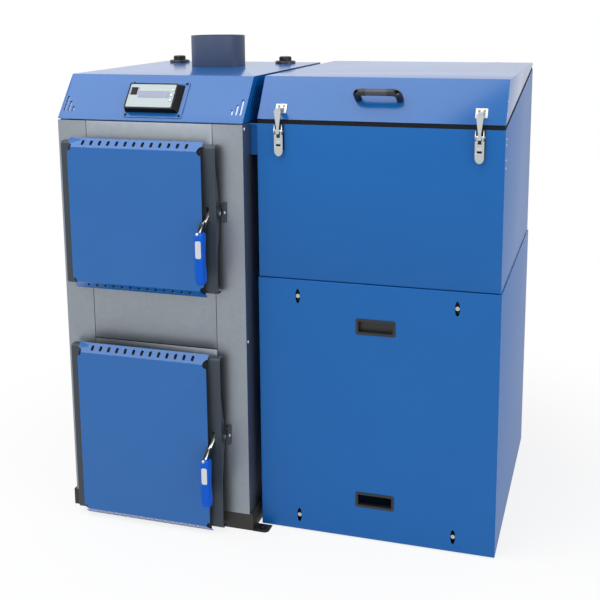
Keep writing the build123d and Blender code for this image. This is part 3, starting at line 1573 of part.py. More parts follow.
# Burner fan: hub, back disc and straight blades on a shaft, inside the burner box
fan_y = burner_y[0] + burner_box_wall + impeller_gap
with BuildPart() as burner_fan:
    with BuildSketch(Plane.XZ.offset(-fan_y)):
        with Locations((impeller_x, impeller_height)):
            Circle(impeller_hub_radius)
            with PolarLocations(0, impeller_blade_count):
                with Locations(((impeller_radius + impeller_hub_radius / 2) / 2, 0)):
                    Rectangle(impeller_radius - impeller_hub_radius / 2, impeller_blade)
    extrude(amount=-impeller_width)
    with BuildSketch(Plane.XZ.offset(-fan_y)):
        with Locations((impeller_x, impeller_height)):
            Circle(impeller_radius)
    extrude(amount=-impeller_blade)
    with BuildSketch(Plane.XZ.offset(-fan_y)):
        with Locations((impeller_x, impeller_height)):
            Circle(impeller_shaft_radius)
    extrude(amount=fan_y - burner_y[0] + fan_bore_depth - seat_gap)
burner_fan.part.label = "burner_fan"
export_step(burner_fan.part, "parts/burner_fan.step")

# Fan motor: round motor on the front of the burner box, bored for the fan's shaft
with BuildPart() as fan_motor:
    with BuildSketch(Plane.XZ.offset(-burner_y[0])):
        with Locations((impeller_x, impeller_height)):
            Circle(fan_motor_radius)
    extrude(amount=fan_motor_length)
    fillet(fan_motor.faces().sort_by(Axis.Y)[0].edges(), fan_motor_radius / 6)
    with BuildSketch(Plane.XZ.offset(-burner_y[0])):
        with Locations((impeller_x, impeller_height)):
            Circle(impeller_shaft_radius + running_gap)
    extrude(amount=fan_bore_depth, mode=Mode.SUBTRACT)
fan_motor.part.label = "fan_motor"
export_step(fan_motor.part, "parts/fan_motor.step")

# Lid: hollow wedge with a sloped front, with a flange round its underside and hinge halves at the rear
lid_low = bin_front_top + gasket_height
lid_rear_low = bin_rear_top + gasket_height
lid_outline = [
    (hopper_front, lid_low),
    (hopper_front + lid_setback, lid_top),
    (hopper_rear, lid_top),
    (hopper_rear, lid_rear_low),
]
lid_hinge_y = hopper_rear + lid_hinge_reach
lid_hinge_z = lid_rear_low - lid_hinge_drop
lid_hinge_mids = [hopper_x + lid_hinge_inset, hopper_right - lid_hinge_inset]
knuckle = (lid_hinge_length - 2 * seat_gap) / 3
flange_in = gasket_inset + gasket_width + gasket_inset
flange_rise = flange_in * (bin_rear_top - bin_front_top) / hopper_depth
underside_cut = [
    (hopper_front + flange_in, lid_low + flange_rise - sheet),
    (hopper_front + flange_in, lid_low + flange_rise + 2 * sheet),
    (hopper_rear - flange_in, lid_rear_low - flange_rise + 2 * sheet),
    (hopper_rear - flange_in, lid_rear_low - flange_rise - sheet),
]
with BuildPart() as lid:
    with BuildSketch(Plane.YZ.offset(hopper_x)):
        with BuildLine():
            Polyline(*lid_outline, close=True)
        make_face()
    extrude(amount=hopper_width)
    with BuildSketch(Plane.YZ.offset(hopper_x + sheet)):
        with BuildLine():
            Polyline(*lid_outline, close=True)
        make_face()
        offset(amount=-sheet, kind=Kind.INTERSECTION, mode=Mode.REPLACE)
    extrude(amount=hopper_width - 2 * sheet, mode=Mode.SUBTRACT)
    with BuildSketch(Plane.YZ.offset(hopper_x + flange_in)):
        with BuildLine():
            Polyline(*underside_cut, close=True)
        make_face()
    extrude(amount=hopper_width - 2 * flange_in, mode=Mode.SUBTRACT)
    for mid in lid_hinge_mids:
        slab(
            (mid - knuckle / 2, mid + knuckle / 2),
            (hopper_rear, lid_hinge_y),
            (lid_rear_low, lid_top),
        )
        with BuildSketch(Plane.YZ.offset(mid - knuckle / 2)):
            with Locations((lid_hinge_y, lid_hinge_z)):
                Circle(lid_hinge_radius)
        extrude(amount=knuckle)
        with BuildSketch(Plane.YZ.offset(mid - knuckle)):
            with Locations((lid_hinge_y, lid_hinge_z)):
                Circle(lid_hinge_pin_radius + running_gap)
        extrude(amount=2 * knuckle, mode=Mode.SUBTRACT)
lid.part.label = "lid"
export_step(lid.part, "parts/lid.step")

# Lid gasket: black ring under the lid's flange, lying just over the bin's rim
gasket_outline = [
    (hopper_front, bin_front_top + seat_gap),
    (hopper_front, lid_low),
    (hopper_rear, lid_rear_low),
    (hopper_rear, bin_rear_top + seat_gap),
]
gasket_in = gasket_inset + gasket_width
with BuildPart() as lid_gasket:
    with BuildSketch(Plane.YZ.offset(hopper_x + gasket_inset)):
        with BuildLine():
            Polyline(*gasket_outline, close=True)
        make_face()
    extrude(amount=hopper_width - 2 * gasket_inset)
    for edge_y in (hopper_front, hopper_rear):
        slab(
            (hopper_x, hopper_right),
            (edge_y - gasket_inset, edge_y + gasket_inset),
            (bin_front_top - overrun, lid_top),
            mode=Mode.SUBTRACT,
        )
    slab(
        (hopper_x + gasket_in, hopper_right - gasket_in),
        (hopper_front + gasket_in, hopper_rear - gasket_in),
        (bin_front_top - overrun, lid_top),
        mode=Mode.SUBTRACT,
    )
lid_gasket.part.label = "lid_gasket"
export_step(lid_gasket.part, "parts/lid_gasket.step")

# Lid hinges: the bin's halves, each with two knuckles, a leaf on the bin's rear wall and the pin
with BuildPart() as lid_hinges:
    for mid in lid_hinge_mids:
        for low_x in (mid - lid_hinge_length / 2, mid + knuckle / 2 + seat_gap):
            slab(
                (low_x, low_x + knuckle),
                (hopper_rear, lid_hinge_y),
                (lid_hinge_z - lid_hinge_length / 2, lid_hinge_z),
            )
            with BuildSketch(Plane.YZ.offset(low_x)):
                with Locations((lid_hinge_y, lid_hinge_z)):
                    Circle(lid_hinge_radius)
            extrude(amount=knuckle)
        slab(
            (mid - lid_hinge_length / 2, mid + lid_hinge_length / 2),
            (hopper_rear, hopper_rear + lid_hinge_leaf),
            (lid_hinge_z - lid_hinge_length, lid_hinge_z - lid_hinge_length / 3),
        )
        with BuildSketch(Plane.YZ.offset(mid - lid_hinge_length / 2)):
            with Locations((lid_hinge_y, lid_hinge_z)):
                Circle(lid_hinge_pin_radius)
        extrude(amount=lid_hinge_length)
lid_hinges.part.label = "lid_hinges"
export_step(lid_hinges.part, "parts/lid_hinges.step")

# Lid handle: a round bar across the slope of the lid, bent back to its two feet
lid_rise = lid_top - lid_low
lid_angle = degrees(atan2(lid_rise, lid_setback))
lid_slope = Plane(
    origin=(hopper_mid, hopper_front, lid_low),
    x_dir=(1, 0, 0),
    z_dir=(0, -sin(radians(lid_angle)), cos(radians(lid_angle))),
)
bow_centre = lid_slope.from_local_coords(Vector(bow_x, bow_up, 0))
bow_plane = Plane(origin=bow_centre, x_dir=(1, 0, 0), z_dir=-lid_slope.y_dir)
bow_foot = (bow_width - bow_bar) / 2
bow_height = bow_reach - bow_bar / 2
with BuildPart() as lid_handle:
    with BuildLine(bow_plane) as bow_line:
        FilletPolyline(
            (-bow_foot, 0), (-bow_foot, bow_height), (bow_foot, bow_height), (bow_foot, 0), radius=bow_bend
        )
    with BuildSketch(Plane(origin=bow_line.line @ 0, x_dir=(1, 0, 0), z_dir=bow_line.line % 0)):
        Circle(bow_bar / 2)
    sweep()
lid_handle.part.label = "lid_handle"
export_step(lid_handle.part, "parts/lid_handle.step")

# Toggle places: pivot and arm pin, shared by the bases, the levers, the arms and the strikes
toggle_mids = [hopper_mid - toggle_spread, hopper_mid + toggle_spread]
toggle_y = hopper_front - toggle_pivot_stand_off
toggle_z = bin_front_top - toggle_pivot_drop
arm_pin_z = toggle_z - arm_pin_drop
arm_back = toggle_y - arm_reach + arm_thickness / 2
ear_outer = toggle_ear_gap / 2 + toggle_ear

# Toggle bases: plate on the bin with two ears and the pivot pin
with BuildPart() as toggle_bases:
    for mid in toggle_mids:
        slab(
            (mid - toggle_width / 2, mid + toggle_width / 2),
            (hopper_front - toggle_base, hopper_front),
            (bin_front_top - toggle_base_drop, bin_front_top),
        )
        for ear_x in (mid - ear_outer, mid + toggle_ear_gap / 2):
            with BuildSketch(Plane.YZ.offset(ear_x)):
                with Locations((toggle_y, toggle_z)):
                    Circle(toggle_ear_radius)
                with Locations(((toggle_y + hopper_front) / 2, toggle_z)):
                    Rectangle(toggle_pivot_stand_off, 2 * toggle_ear_radius)
                ear_mid_z = (toggle_z + bin_front_top) / 2
                with Locations(((toggle_y + hopper_front) / 2 - toggle_barrel_radius / 2, ear_mid_z)):
                    Rectangle(toggle_pivot_stand_off + toggle_barrel_radius, bin_front_top - toggle_z)
            extrude(amount=toggle_ear)
        with BuildSketch(Plane.YZ.offset(mid - ear_outer)):
            with Locations((toggle_y, toggle_z)):
                Circle(toggle_pin_radius)
        extrude(amount=2 * ear_outer + toggle_ear)
toggle_bases.part.label = "toggle_bases"
export_step(toggle_bases.part, "parts/toggle_bases.step")


def toggle_lever(mid):
    """Toggle lever: barrel on the pivot, wide plate with a pointed end, two windows and the arm's pin."""
    barrel_half = toggle_ear_gap / 2 - seat_gap
    shoulder_z = toggle_z - toggle_lever_shoulder
    tip_z = toggle_z - toggle_lever_length
    with BuildPart() as lever:
        with BuildSketch(Plane.XZ.offset(-toggle_y - toggle_lever_thickness / 2)):
            with BuildLine():
                Polyline(
                    (mid - barrel_half, toggle_z),
                    (mid - barrel_half, shoulder_z),
                    (mid - toggle_width / 2, shoulder_z),
                    (mid - toggle_width / 2, tip_z + toggle_tip_length),
                    (mid - toggle_tip_width / 2, tip_z),
                    (mid + toggle_tip_width / 2, tip_z),
                    (mid + toggle_width / 2, tip_z + toggle_tip_length),
                    (mid + toggle_width / 2, shoulder_z),
                    (mid + barrel_half, shoulder_z),
                    (mid + barrel_half, toggle_z),
                    close=True,
                )
            make_face()
            low_corners = vertices().group_by(Axis.Y)[0]
            fillet(low_corners, toggle_tip_width / 3)
        extrude(amount=toggle_lever_thickness)
        with BuildSketch(Plane.YZ.offset(mid - barrel_half)):
            with Locations((toggle_y, toggle_z)):
                Circle(toggle_barrel_radius)
        extrude(amount=2 * barrel_half)
        with BuildSketch(Plane.XZ.offset(-toggle_y - toggle_lever_thickness)):
            with Locations((mid, arm_pin_z + toggle_pin_radius / 2)):
                Rectangle(arm_window_width, arm_window_length)
            with Locations((mid, arm_pin_z - low_window_drop + low_window_width / 2)):
                Rectangle(low_window_width, low_window_width)
        extrude(amount=2 * toggle_lever_thickness, mode=Mode.SUBTRACT)
        with BuildSketch(Plane.YZ.offset(mid - barrel_half)):
            with Locations((toggle_y, toggle_z)):
                Circle(toggle_pin_radius + running_gap)
        extrude(amount=2 * barrel_half, mode=Mode.SUBTRACT)
        with BuildSketch(Plane.YZ.offset(mid - arm_window_width / 2 - sheet)):
            with Locations((toggle_y, arm_pin_z)):
                Circle(arm_pin_radius)
        extrude(amount=arm_window_width + 2 * sheet)
    return lever


left_toggle_lever = toggle_lever(toggle_mids[0])
left_toggle_lever.part.label = "left_toggle_lever"
export_step(left_toggle_lever.part, "parts/left_toggle_lever.step")

right_toggle_lever = toggle_lever(toggle_mids[1])
right_toggle_lever.part.label = "right_toggle_lever"
export_step(right_toggle_lever.part, "parts/right_toggle_lever.step")


def draw_arm(mid):
    """Toggle arm: an eye on the lever's pin, a web forward, and an upright blade that widens upward."""
    blade_low = arm_pin_z + arm_reach
    with BuildPart() as arm:
        with BuildSketch(Plane.XZ.offset(-arm_back)):
            with BuildLine():
                Polyline(
                    (mid - arm_low_width / 2, blade_low - arm_thickness),
                    (mid + arm_low_width / 2, blade_low - arm_thickness),
                    (mid + arm_low_width / 2, blade_low + arm_height / 5),
                    (mid + arm_top_width / 2, arm_pin_z + arm_height - arm_low_width),
                    (mid + arm_top_width / 2, arm_pin_z + arm_height),
                    (mid - arm_top_width / 2, arm_pin_z + arm_height),
                    (mid - arm_top_width / 2, arm_pin_z + arm_height - arm_low_width),
                    (mid - arm_low_width / 2, blade_low + arm_height / 5),
                    close=True,
                )
            make_face()
        extrude(amount=arm_thickness)
        with BuildSketch(Plane.YZ.offset(mid - arm_low_width / 2)):
            with BuildLine():
                Polyline(
                    (toggle_y, arm_pin_z - arm_thickness / 2),
                    (toggle_y, arm_pin_z + arm_thickness),
                    (arm_back - arm_thickness / 2, blade_low + arm_thickness / 2),
                    (arm_back - arm_thickness, blade_low + arm_thickness / 2),
                    (arm_back - arm_thickness, blade_low - arm_thickness),
                    close=True,
                )
            make_face()
            with Locations((toggle_y, arm_pin_z)):
                Circle(arm_eye_radius)
                Circle(arm_pin_radius + running_gap, mode=Mode.SUBTRACT)
        extrude(amount=arm_low_width)
    return arm


left_draw_arm = draw_arm(toggle_mids[0])
left_draw_arm.part.label = "left_draw_arm"
export_step(left_draw_arm.part, "parts/left_draw_arm.step")

right_draw_arm = draw_arm(toggle_mids[1])
right_draw_arm.part.label = "right_draw_arm"
export_step(right_draw_arm.part, "parts/right_draw_arm.step")

# Toggle strikes: plates on the slope of the lid, each with a nose that reaches out behind the arm's top
strike_up = strike_low + strike_height / 2
nose_tip_y = arm_back + strike_nose_gap
nose_top_z = arm_pin_z + arm_height - strike_nose_drop / 2
nose_root_y = hopper_front + (nose_top_z - lid_low) * lid_setback / lid_rise - strike_plate / 2
nose_rake = strike_nose_height * lid_setback / lid_rise
with BuildPart() as toggle_strikes:
    for side in (-1, 1):
        with BuildSketch(lid_slope):
            with Locations((side * toggle_spread, strike_up)):
                RectangleRounded(strike_width, strike_height, strike_plate)
        extrude(amount=strike_plate)
        mid = hopper_mid + side * toggle_spread
        with BuildSketch(Plane.YZ.offset(mid - strike_width / 4)):
            with BuildLine():
                Polyline(
                    (nose_tip_y, nose_top_z),
                    (nose_tip_y, nose_top_z - strike_nose_height),
                    (nose_root_y - nose_rake, nose_top_z - strike_nose_height),
                    (nose_root_y, nose_top_z),
                    close=True,
                )
            make_face()
        extrude(amount=strike_width / 2)
toggle_strikes.part.label = "toggle_strikes"
export_step(toggle_strikes.part, "parts/toggle_strikes.step")
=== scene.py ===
import json
import math

import bmesh
import bpy
from mathutils import Matrix, Vector


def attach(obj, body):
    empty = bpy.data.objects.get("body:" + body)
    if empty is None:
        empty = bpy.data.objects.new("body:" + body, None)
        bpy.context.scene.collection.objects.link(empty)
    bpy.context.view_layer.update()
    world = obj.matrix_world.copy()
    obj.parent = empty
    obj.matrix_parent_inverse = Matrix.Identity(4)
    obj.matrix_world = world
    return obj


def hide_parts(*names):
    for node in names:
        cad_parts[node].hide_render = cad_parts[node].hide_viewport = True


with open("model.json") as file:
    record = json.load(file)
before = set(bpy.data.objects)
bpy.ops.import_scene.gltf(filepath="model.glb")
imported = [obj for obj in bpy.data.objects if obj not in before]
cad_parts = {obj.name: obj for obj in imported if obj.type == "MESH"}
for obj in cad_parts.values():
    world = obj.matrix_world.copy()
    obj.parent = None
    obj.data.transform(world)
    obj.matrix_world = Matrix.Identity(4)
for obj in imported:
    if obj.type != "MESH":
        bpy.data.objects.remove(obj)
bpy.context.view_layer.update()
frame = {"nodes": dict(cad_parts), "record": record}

# Camera: stands in front, past the pellet cabinet's right side and a little above the flue, and looks down
# and to the left. Its place is in the object's own frame, in metres, and its turns are in degrees.
photo_width = 600.0
focal_pixels = 1009.16
horizon_centre_row = 190.0
camera_place = (0.92175, -3.00162, 1.55805)
camera_yaw = 17.369
camera_pitch = 10.577
camera_roll = -0.474
camera_data = bpy.data.cameras.new("camera")
camera_data.lens = camera_data.sensor_width * focal_pixels / photo_width
camera_data.shift_y = (horizon_centre_row - photo_width / 2) / photo_width
camera = bpy.data.objects.new("camera", camera_data)
bpy.context.scene.collection.objects.link(camera)
camera_turn = (
    Matrix.Rotation(math.radians(camera_yaw), 4, "Z")
    @ Matrix.Rotation(math.radians(90.0 - camera_pitch), 4, "X")
    @ Matrix.Rotation(math.radians(camera_roll), 4, "Z")
)
camera.matrix_world = Matrix.Translation(camera_place) @ camera_turn
bpy.context.scene.camera = camera
bpy.context.scene.view_settings.view_transform = "Standard"


# Studio: a white surround that the camera and the glossy paint see as white, with less light from it on the
# object. A large soft box hangs overhead in front, and a weaker one stands at the right.
def add_node(tree, kind, settings, links):
    """Adds a node. settings holds attributes and input values, links holds what feeds which input."""
    node = tree.nodes.new(kind)
    for name, value in settings.items():
        if isinstance(name, int) or name in node.inputs:
            node.inputs[name].default_value = value
        else:
            setattr(node, name, value)
    for name, output in links.items():
        tree.links.new(output, node.inputs[name])
    return node


surround_light = 0.52
surround_seen = 1.0
world = bpy.data.worlds.new("studio")
bpy.context.scene.world = world
world.use_nodes = True
world.node_tree.nodes.clear()
ray = add_node(world.node_tree, "ShaderNodeLightPath", {}, {})
seen_glossy = add_node(
    world.node_tree,
    "ShaderNodeMath",
    {"operation": "ADD", "use_clamp": True},
    {0: ray.outputs["Is Camera Ray"], 1: ray.outputs["Is Glossy Ray"]},
)
seen = add_node(
    world.node_tree,
    "ShaderNodeMath",
    {"operation": "ADD", "use_clamp": True},
    {0: seen_glossy.outputs[0], 1: ray.outputs["Is Transmission Ray"]},
)
level = add_node(
    world.node_tree,
    "ShaderNodeMapRange",
    {"To Min": surround_light, "To Max": surround_seen},
    {"Value": seen.outputs[0]},
)
white = (1, 1, 1, 1)
surround = add_node(world.node_tree, "ShaderNodeBackground", {"Color": white}, {"Strength": level.outputs[0]})
add_node(world.node_tree, "ShaderNodeOutputWorld", {}, {"Surface": surround.outputs[0]})


def soft_box(name, place, aim, size, power):
    """Square area light that faces a point."""
    data = bpy.data.lights.new(name, "AREA")
    data.shape = "SQUARE"
    data.size = size
    data.energy = power
    lamp = bpy.data.objects.new(name, data)
    bpy.context.scene.collection.objects.link(lamp)
    turn = (Vector(aim) - Vector(place)).to_track_quat("-Z", "Y")
    lamp.matrix_world = Matrix.Translation(place) @ turn.to_matrix().to_4x4()


object_middle = (0.0, 0.0, 0.7)
soft_box("overhead", (-1.2, -1.9, 4.2), object_middle, 4.2, 135.0)
soft_box("right", (3.6, -1.6, 2.4), object_middle, 2.4, 40.0)


def linear(hex_colour):
    """Linear colour with alpha from an sRGB hex value such as 386BB0."""
    parts = [int(hex_colour[i : i + 2], 16) / 255 for i in (0, 2, 4)]
    return tuple(p / 12.92 if p <= 0.04045 else ((p + 0.055) / 1.055) ** 2.4 for p in parts) + (1.0,)


def new_material(name):
    """A node material, its tree to fill, and the place in the object's own frame that its patterns follow."""
    material = bpy.data.materials.new(name)
    material.use_nodes = True
    tree = material.node_tree
    tree.nodes.clear()
    place = add_node(tree, "ShaderNodeTexCoord", {}, {})
    return material, tree, place.outputs["Object"]


def between(low, high):
    """Settings of a mix node between two hex colours."""
    return {"data_type": "RGBA", 6: linear(low), 7: linear(high)}


# Floor: a plain pale sheet that keeps the object's shadow. Further away it turns to the white of the
# surround, so that no horizon shows.
floor_half = 14.0
floor_colour = linear("F4F4F3")
shadow_near = 0.75
white_from = 1.7
floor_glow = 0.82
floor_mesh = bpy.data.meshes.new("floor")
floor_mesh.from_pydata(
    [(x * floor_half, y * floor_half, 0) for x, y in ((-1, -1), (1, -1), (1, 1), (-1, 1))], [], [(0, 1, 2, 3)]
)
floor = bpy.data.objects.new("floor", floor_mesh)
bpy.context.scene.collection.objects.link(floor)
floor_paper, tree, place = new_material("floor paper")
paper = add_node(tree, "ShaderNodeBsdfDiffuse", {"Color": floor_colour}, {})
ray = add_node(tree, "ShaderNodeLightPath", {}, {})
bright = add_node(tree, "ShaderNodeEmission", {"Color": white, "Strength": 1.0}, {})
lift = add_node(
    tree,
    "ShaderNodeMath",
    {"operation": "ADD", "use_clamp": True},
    {0: ray.outputs["Is Camera Ray"], 1: ray.outputs["Is Glossy Ray"]},
)
distance = add_node(tree, "ShaderNodeVectorMath", {"operation": "LENGTH"}, {0: place})
fade = add_node(
    tree,
    "ShaderNodeMapRange",
    {
        "interpolation_type": "SMOOTHSTEP",
        "From Min": shadow_near,
        "From Max": white_from,
        "To Min": floor_glow,
        "To Max": 1.0,
    },
    {"Value": distance.outputs["Value"]},
)
share = add_node(tree, "ShaderNodeMath", {"operation": "MULTIPLY"}, {0: lift.outputs[0], 1: fade.outputs[0]})
shaders = {0: share.outputs[0], 1: paper.outputs[0], 2: bright.outputs[0]}
blended = add_node(tree, "ShaderNodeMixShader", {}, shaders)
add_node(tree, "ShaderNodeOutputMaterial", {}, {"Surface": blended.outputs[0]})
floor_mesh.materials.append(floor_paper)

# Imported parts: most keep their shape. A dressed copy joins the loose triangles of its part, rounds the broad
# outer edges as a press brake or a mould leaves them, and stands in for the part.
body_of = {node: body for body, nodes in frame["record"]["behaviour"]["bodies"].items() for node in nodes}
merge_distance = 0.000002
flat_angle = math.radians(0.4)
crease_angle = math.radians(30.0)
millimetre = 0.001


def mesh_of(work, name):
    """Mesh from a finished bmesh, which is freed."""
    data = bpy.data.meshes.new(name)
    work.to_mesh(data)
    work.free()
    return data


def new_piece(name, data, material, body):
    """An object for a finished mesh, with its material and body."""
    piece = bpy.data.objects.new(name, data)
    bpy.context.scene.collection.objects.link(piece)
    data.materials.clear()
    data.materials.append(material)
    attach(piece, body)
    return piece


def plain_mesh(piece):
    """Turns an object with modifiers into a plain mesh, with smooth shading up to a crease."""
    bpy.context.view_layer.update()
    evaluated = piece.evaluated_get(bpy.context.evaluated_depsgraph_get())
    data = bpy.data.meshes.new_from_object(evaluated)
    piece.modifiers.clear()
    piece.data = data
    data.polygons.foreach_set("use_smooth", [True] * len(data.polygons))
    data.set_sharp_from_angle(angle=crease_angle)
    return piece


def solid(name, data, material, body, stands_for=None):
    """A finished piece from a mesh as it is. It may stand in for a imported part."""
    piece = plain_mesh(new_piece(name, data, material, body))
    if stands_for is not None:
        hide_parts(stands_for)
    return piece


def softened(piece, radius, segments=2):
    """Rounds every edge of a piece a little and leaves a plain mesh."""
    rounding = piece.modifiers.new("rounding", "BEVEL")
    rounding.width = radius
    rounding.segments = segments
    plain_mesh(piece)


def cut(piece, cutter_mesh):
    """Cuts a closed mesh out of a piece."""
    cutter = bpy.data.objects.new("cutter", cutter_mesh)
    bpy.context.scene.collection.objects.link(cutter)
    knife = piece.modifiers.new("cut", "BOOLEAN")
    knife.operation = "DIFFERENCE"
    knife.solver = "EXACT"
    knife.object = cutter
    plain_mesh(piece)
    bpy.data.objects.remove(cutter)


def broad_outer(edge):
    """Full weight for an outer edge between two broad faces."""
    return float(min(face.calc_area() for face in edge.link_faces) > broad_face)


def small_outer(edge):
    """Full weight for an outer edge between two faces of a small fitting."""
    return float(min(face.calc_area() for face in edge.link_faces) > small_face)


broad_face = 0.0004
small_face = 0.00001


def dressed(node, material, radius, weigh=broad_outer):
    """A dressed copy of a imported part. weigh gives an outer edge its share of the radius."""
    work = bmesh.new()
    work.from_mesh(frame["nodes"][node].data)
    bmesh.ops.remove_doubles(work, verts=work.verts, dist=merge_distance)
    bmesh.ops.dissolve_limit(
        work, angle_limit=flat_angle, use_dissolve_boundaries=False, verts=work.verts, edges=work.edges
    )
    weights = work.edges.layers.float.new("bevel_weight_edge")
    for edge in work.edges:
        if len(edge.link_faces) == 2 and edge.is_convex and edge.calc_face_angle() > crease_angle:
            edge[weights] = weigh(edge)
    data = mesh_of(work, node + "_dressed")
    piece = new_piece(node + "_dressed", data, material, body_of[node])
    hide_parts(node)
    if radius > 0:
        rounding = piece.modifiers.new("rounding", "BEVEL")
        rounding.limit_method = "WEIGHT"
        rounding.width = radius
        rounding.segments = 3
    return plain_mesh(piece)


def second_finish(piece, material, chosen):
    """Gives the faces for which chosen is true a second material."""
    piece.data.materials.append(material)
    for face in piece.data.polygons:
        if chosen(face):
            face.material_index = 1


# Boiler base: a frame of folded steel, sprayed matt black, with a lug of the same steel bolted to the floor.
# The paint is thin and a little dusty.
def finish(name, tones, cloud, relief, surface, stretch=1.0):
    """Material with clouds between two tones and a fine relief. One tone makes no clouds.

    cloud holds the width in millimetres and the detail. relief holds the width, the detail, the strength and
    the depth in millimetres, or None. surface holds values of the shader, and a roughness that is a pair of
    limits follows the clouds, or else the relief. A stretch below 1 draws the clouds out upward.
    """
    material, tree, place = new_material(name)
    settings, links = dict(surface), {}
    if len(tones) == 1:
        settings["Base Color"] = linear(tones[0])
    else:
        width, detail = cloud
        shape = {"Scale": (1.0, 1.0, stretch)}
        drawn = add_node(tree, "ShaderNodeMapping", shape, {"Vector": place})
        size = {"Scale": 1 / (width * millimetre), "Detail": detail}
        pattern = add_node(tree, "ShaderNodeTexNoise", size, {"Vector": drawn.outputs[0]}).outputs["Fac"]
        colour = add_node(tree, "ShaderNodeMix", between(*tones), {0: pattern})
        links["Base Color"] = colour.outputs[2]
    if relief:
        width, detail, strength, depth = relief
        size = {"Scale": 1 / (width * millimetre), "Detail": detail}
        grain = add_node(tree, "ShaderNodeTexNoise", size, {"Vector": place}).outputs["Fac"]
        height = {"Strength": strength, "Distance": depth * millimetre}
        links["Normal"] = add_node(tree, "ShaderNodeBump", height, {"Height": grain}).outputs[0]
        if len(tones) == 1:
            pattern = grain
    if isinstance(settings["Roughness"], tuple):
        least, most = settings.pop("Roughness")
        limits = {"To Min": least, "To Max": most}
        links["Roughness"] = add_node(tree, "ShaderNodeMapRange", limits, {"Value": pattern}).outputs[0]
    shader = add_node(tree, "ShaderNodeBsdfPrincipled", settings, links)
    add_node(tree, "ShaderNodeOutputMaterial", {}, {"Surface": shader.outputs[0]})
    return material


# Matt black spray paint on hot-rolled steel: low gloss, fine grain, a few lighter rubbed patches.
frame_tones = ("1F1C1A", "2F2B28")
frame_gloss = {"Roughness": 0.55, "IOR": 1.5}
frame_paint = finish("matt black frame paint", frame_tones, (60, 4.0), (1.2, 2.0, 0.25, 0.2), frame_gloss)
base_edge = 1.5 * millimetre
dressed("base_frame", frame_paint, base_edge)
dressed("floor_bracket", frame_paint, base_edge / 2)
dressed("hopper_frame", frame_paint, base_edge)


# Boiler casing: hot-dip galvanised sheet, folded at the corners and left bare. The zinc is a satin mirror
# with faint frost-like grains, and its rolling direction runs upward.
def galvanised_sheet():
    """Galvanised steel: blurred reflections, zinc grains about 14 mm wide, and fine upright rolling lines."""
    material, tree, place = new_material("galvanised sheet steel")
    grains = add_node(tree, "ShaderNodeTexVoronoi", {"Scale": 1 / (14 * millimetre)}, {"Vector": place})
    grey = add_node(tree, "ShaderNodeRGBToBW", {}, {0: grains.outputs["Color"]})
    colour = add_node(tree, "ShaderNodeMix", between("9299A1", "979EA6"), {0: grey.outputs[0]})
    upright = {"Scale": (1.0, 1.0, 0.02)}
    stretch = add_node(tree, "ShaderNodeMapping", upright, {"Vector": place})
    spacing = {"Scale": 1 / (1.5 * millimetre), "Detail": 2.0}
    lines = add_node(tree, "ShaderNodeTexNoise", spacing, {"Vector": stretch.outputs[0]})
    limits = {"To Min": 0.42, "To Max": 0.5}
    rough = add_node(tree, "ShaderNodeMapRange", limits, {"Value": lines.outputs["Fac"]})
    depth = {"Strength": 0.05, "Distance": 0.1 * millimetre}
    bump = add_node(tree, "ShaderNodeBump", depth, {"Height": lines.outputs["Fac"]})
    metal = add_node(
        tree,
        "ShaderNodeBsdfPrincipled",
        {"Metallic": 1.0},
        {"Base Color": colour.outputs[2], "Roughness": rough.outputs[0], "Normal": bump.outputs[0]},
    )
    add_node(tree, "ShaderNodeOutputMaterial", {}, {"Surface": metal.outputs[0]})
    return material


galvanised = galvanised_sheet()
sheet_edge = 0.6 * millimetre
for name in ("left_side_panel", "right_side_panel", "rear_panel", "upper_front_panel", "lower_front_panel"):
    dressed(name, galvanised, sheet_edge)
dressed("hopper_funnel", galvanised, 0)

# Blue cabinet work: the hood, the door covers and the pellet cabinet are mild steel sheet, bent on a press
# brake and powder coated blue, duller on the pellet cabinet. Its clouds are 220 mm wide and hardly seen, and
# its orange peel is 4 mm wide and breaks the reflections at a low angle.
blue_tones = ("0C5EA6", "1262AC")
blue_cloud = (220, 3.0)
orange_peel = (4, 1.0, 0.05, 0.1)
high_gloss = {"Roughness": 0.18, "IOR": 1.5}
satin_gloss = {"Roughness": 0.4, "IOR": 1.36}
blue = finish("glossy blue powder coat", blue_tones, blue_cloud, orange_peel, high_gloss)
satin_blue = finish("satin blue powder coat", blue_tones, blue_cloud, orange_peel, satin_gloss)
bend_radius = 2.0 * millimetre
for name in ("hood", "upper_door_cover", "lower_door_cover", "lid"):
    dressed(name, blue, bend_radius)
for name in ("service_panel", "lower_casing", "bin_shell"):
    dressed(name, satin_blue, bend_radius)


# Insulation under the hood's slope: a mineral wool board faced with aluminium foil, which shows light through
# the corner slots. It lies a few millimetres under the sheet.
def slope_frame(x, y, z, setback, rise):
    """Matrix for places on a slope: across, up the slope, and out of it."""
    angle = math.atan2(rise, setback)
    return Matrix.Translation((x, y, z)) @ Matrix.Rotation(angle, 4, "X")


def around(middle, half):
    """Pair of limits at the same distance below and above a middle."""
    return middle - half, middle + half


def block(sides_x, sides_y, sides_z, matrix):
    """Mesh of a rectangular block between pairs of limits, placed by a matrix."""
    corners = [matrix @ Vector((x, y, z)) for z in sides_z for y in sides_y for x in sides_x]
    faces = [(0, 2, 3, 1), (4, 5, 7, 6), (0, 1, 5, 4), (2, 6, 7, 3), (0, 4, 6, 2), (1, 3, 7, 5)]
    data = bpy.data.meshes.new("block")
    data.from_pydata(corners, [], faces)
    return data


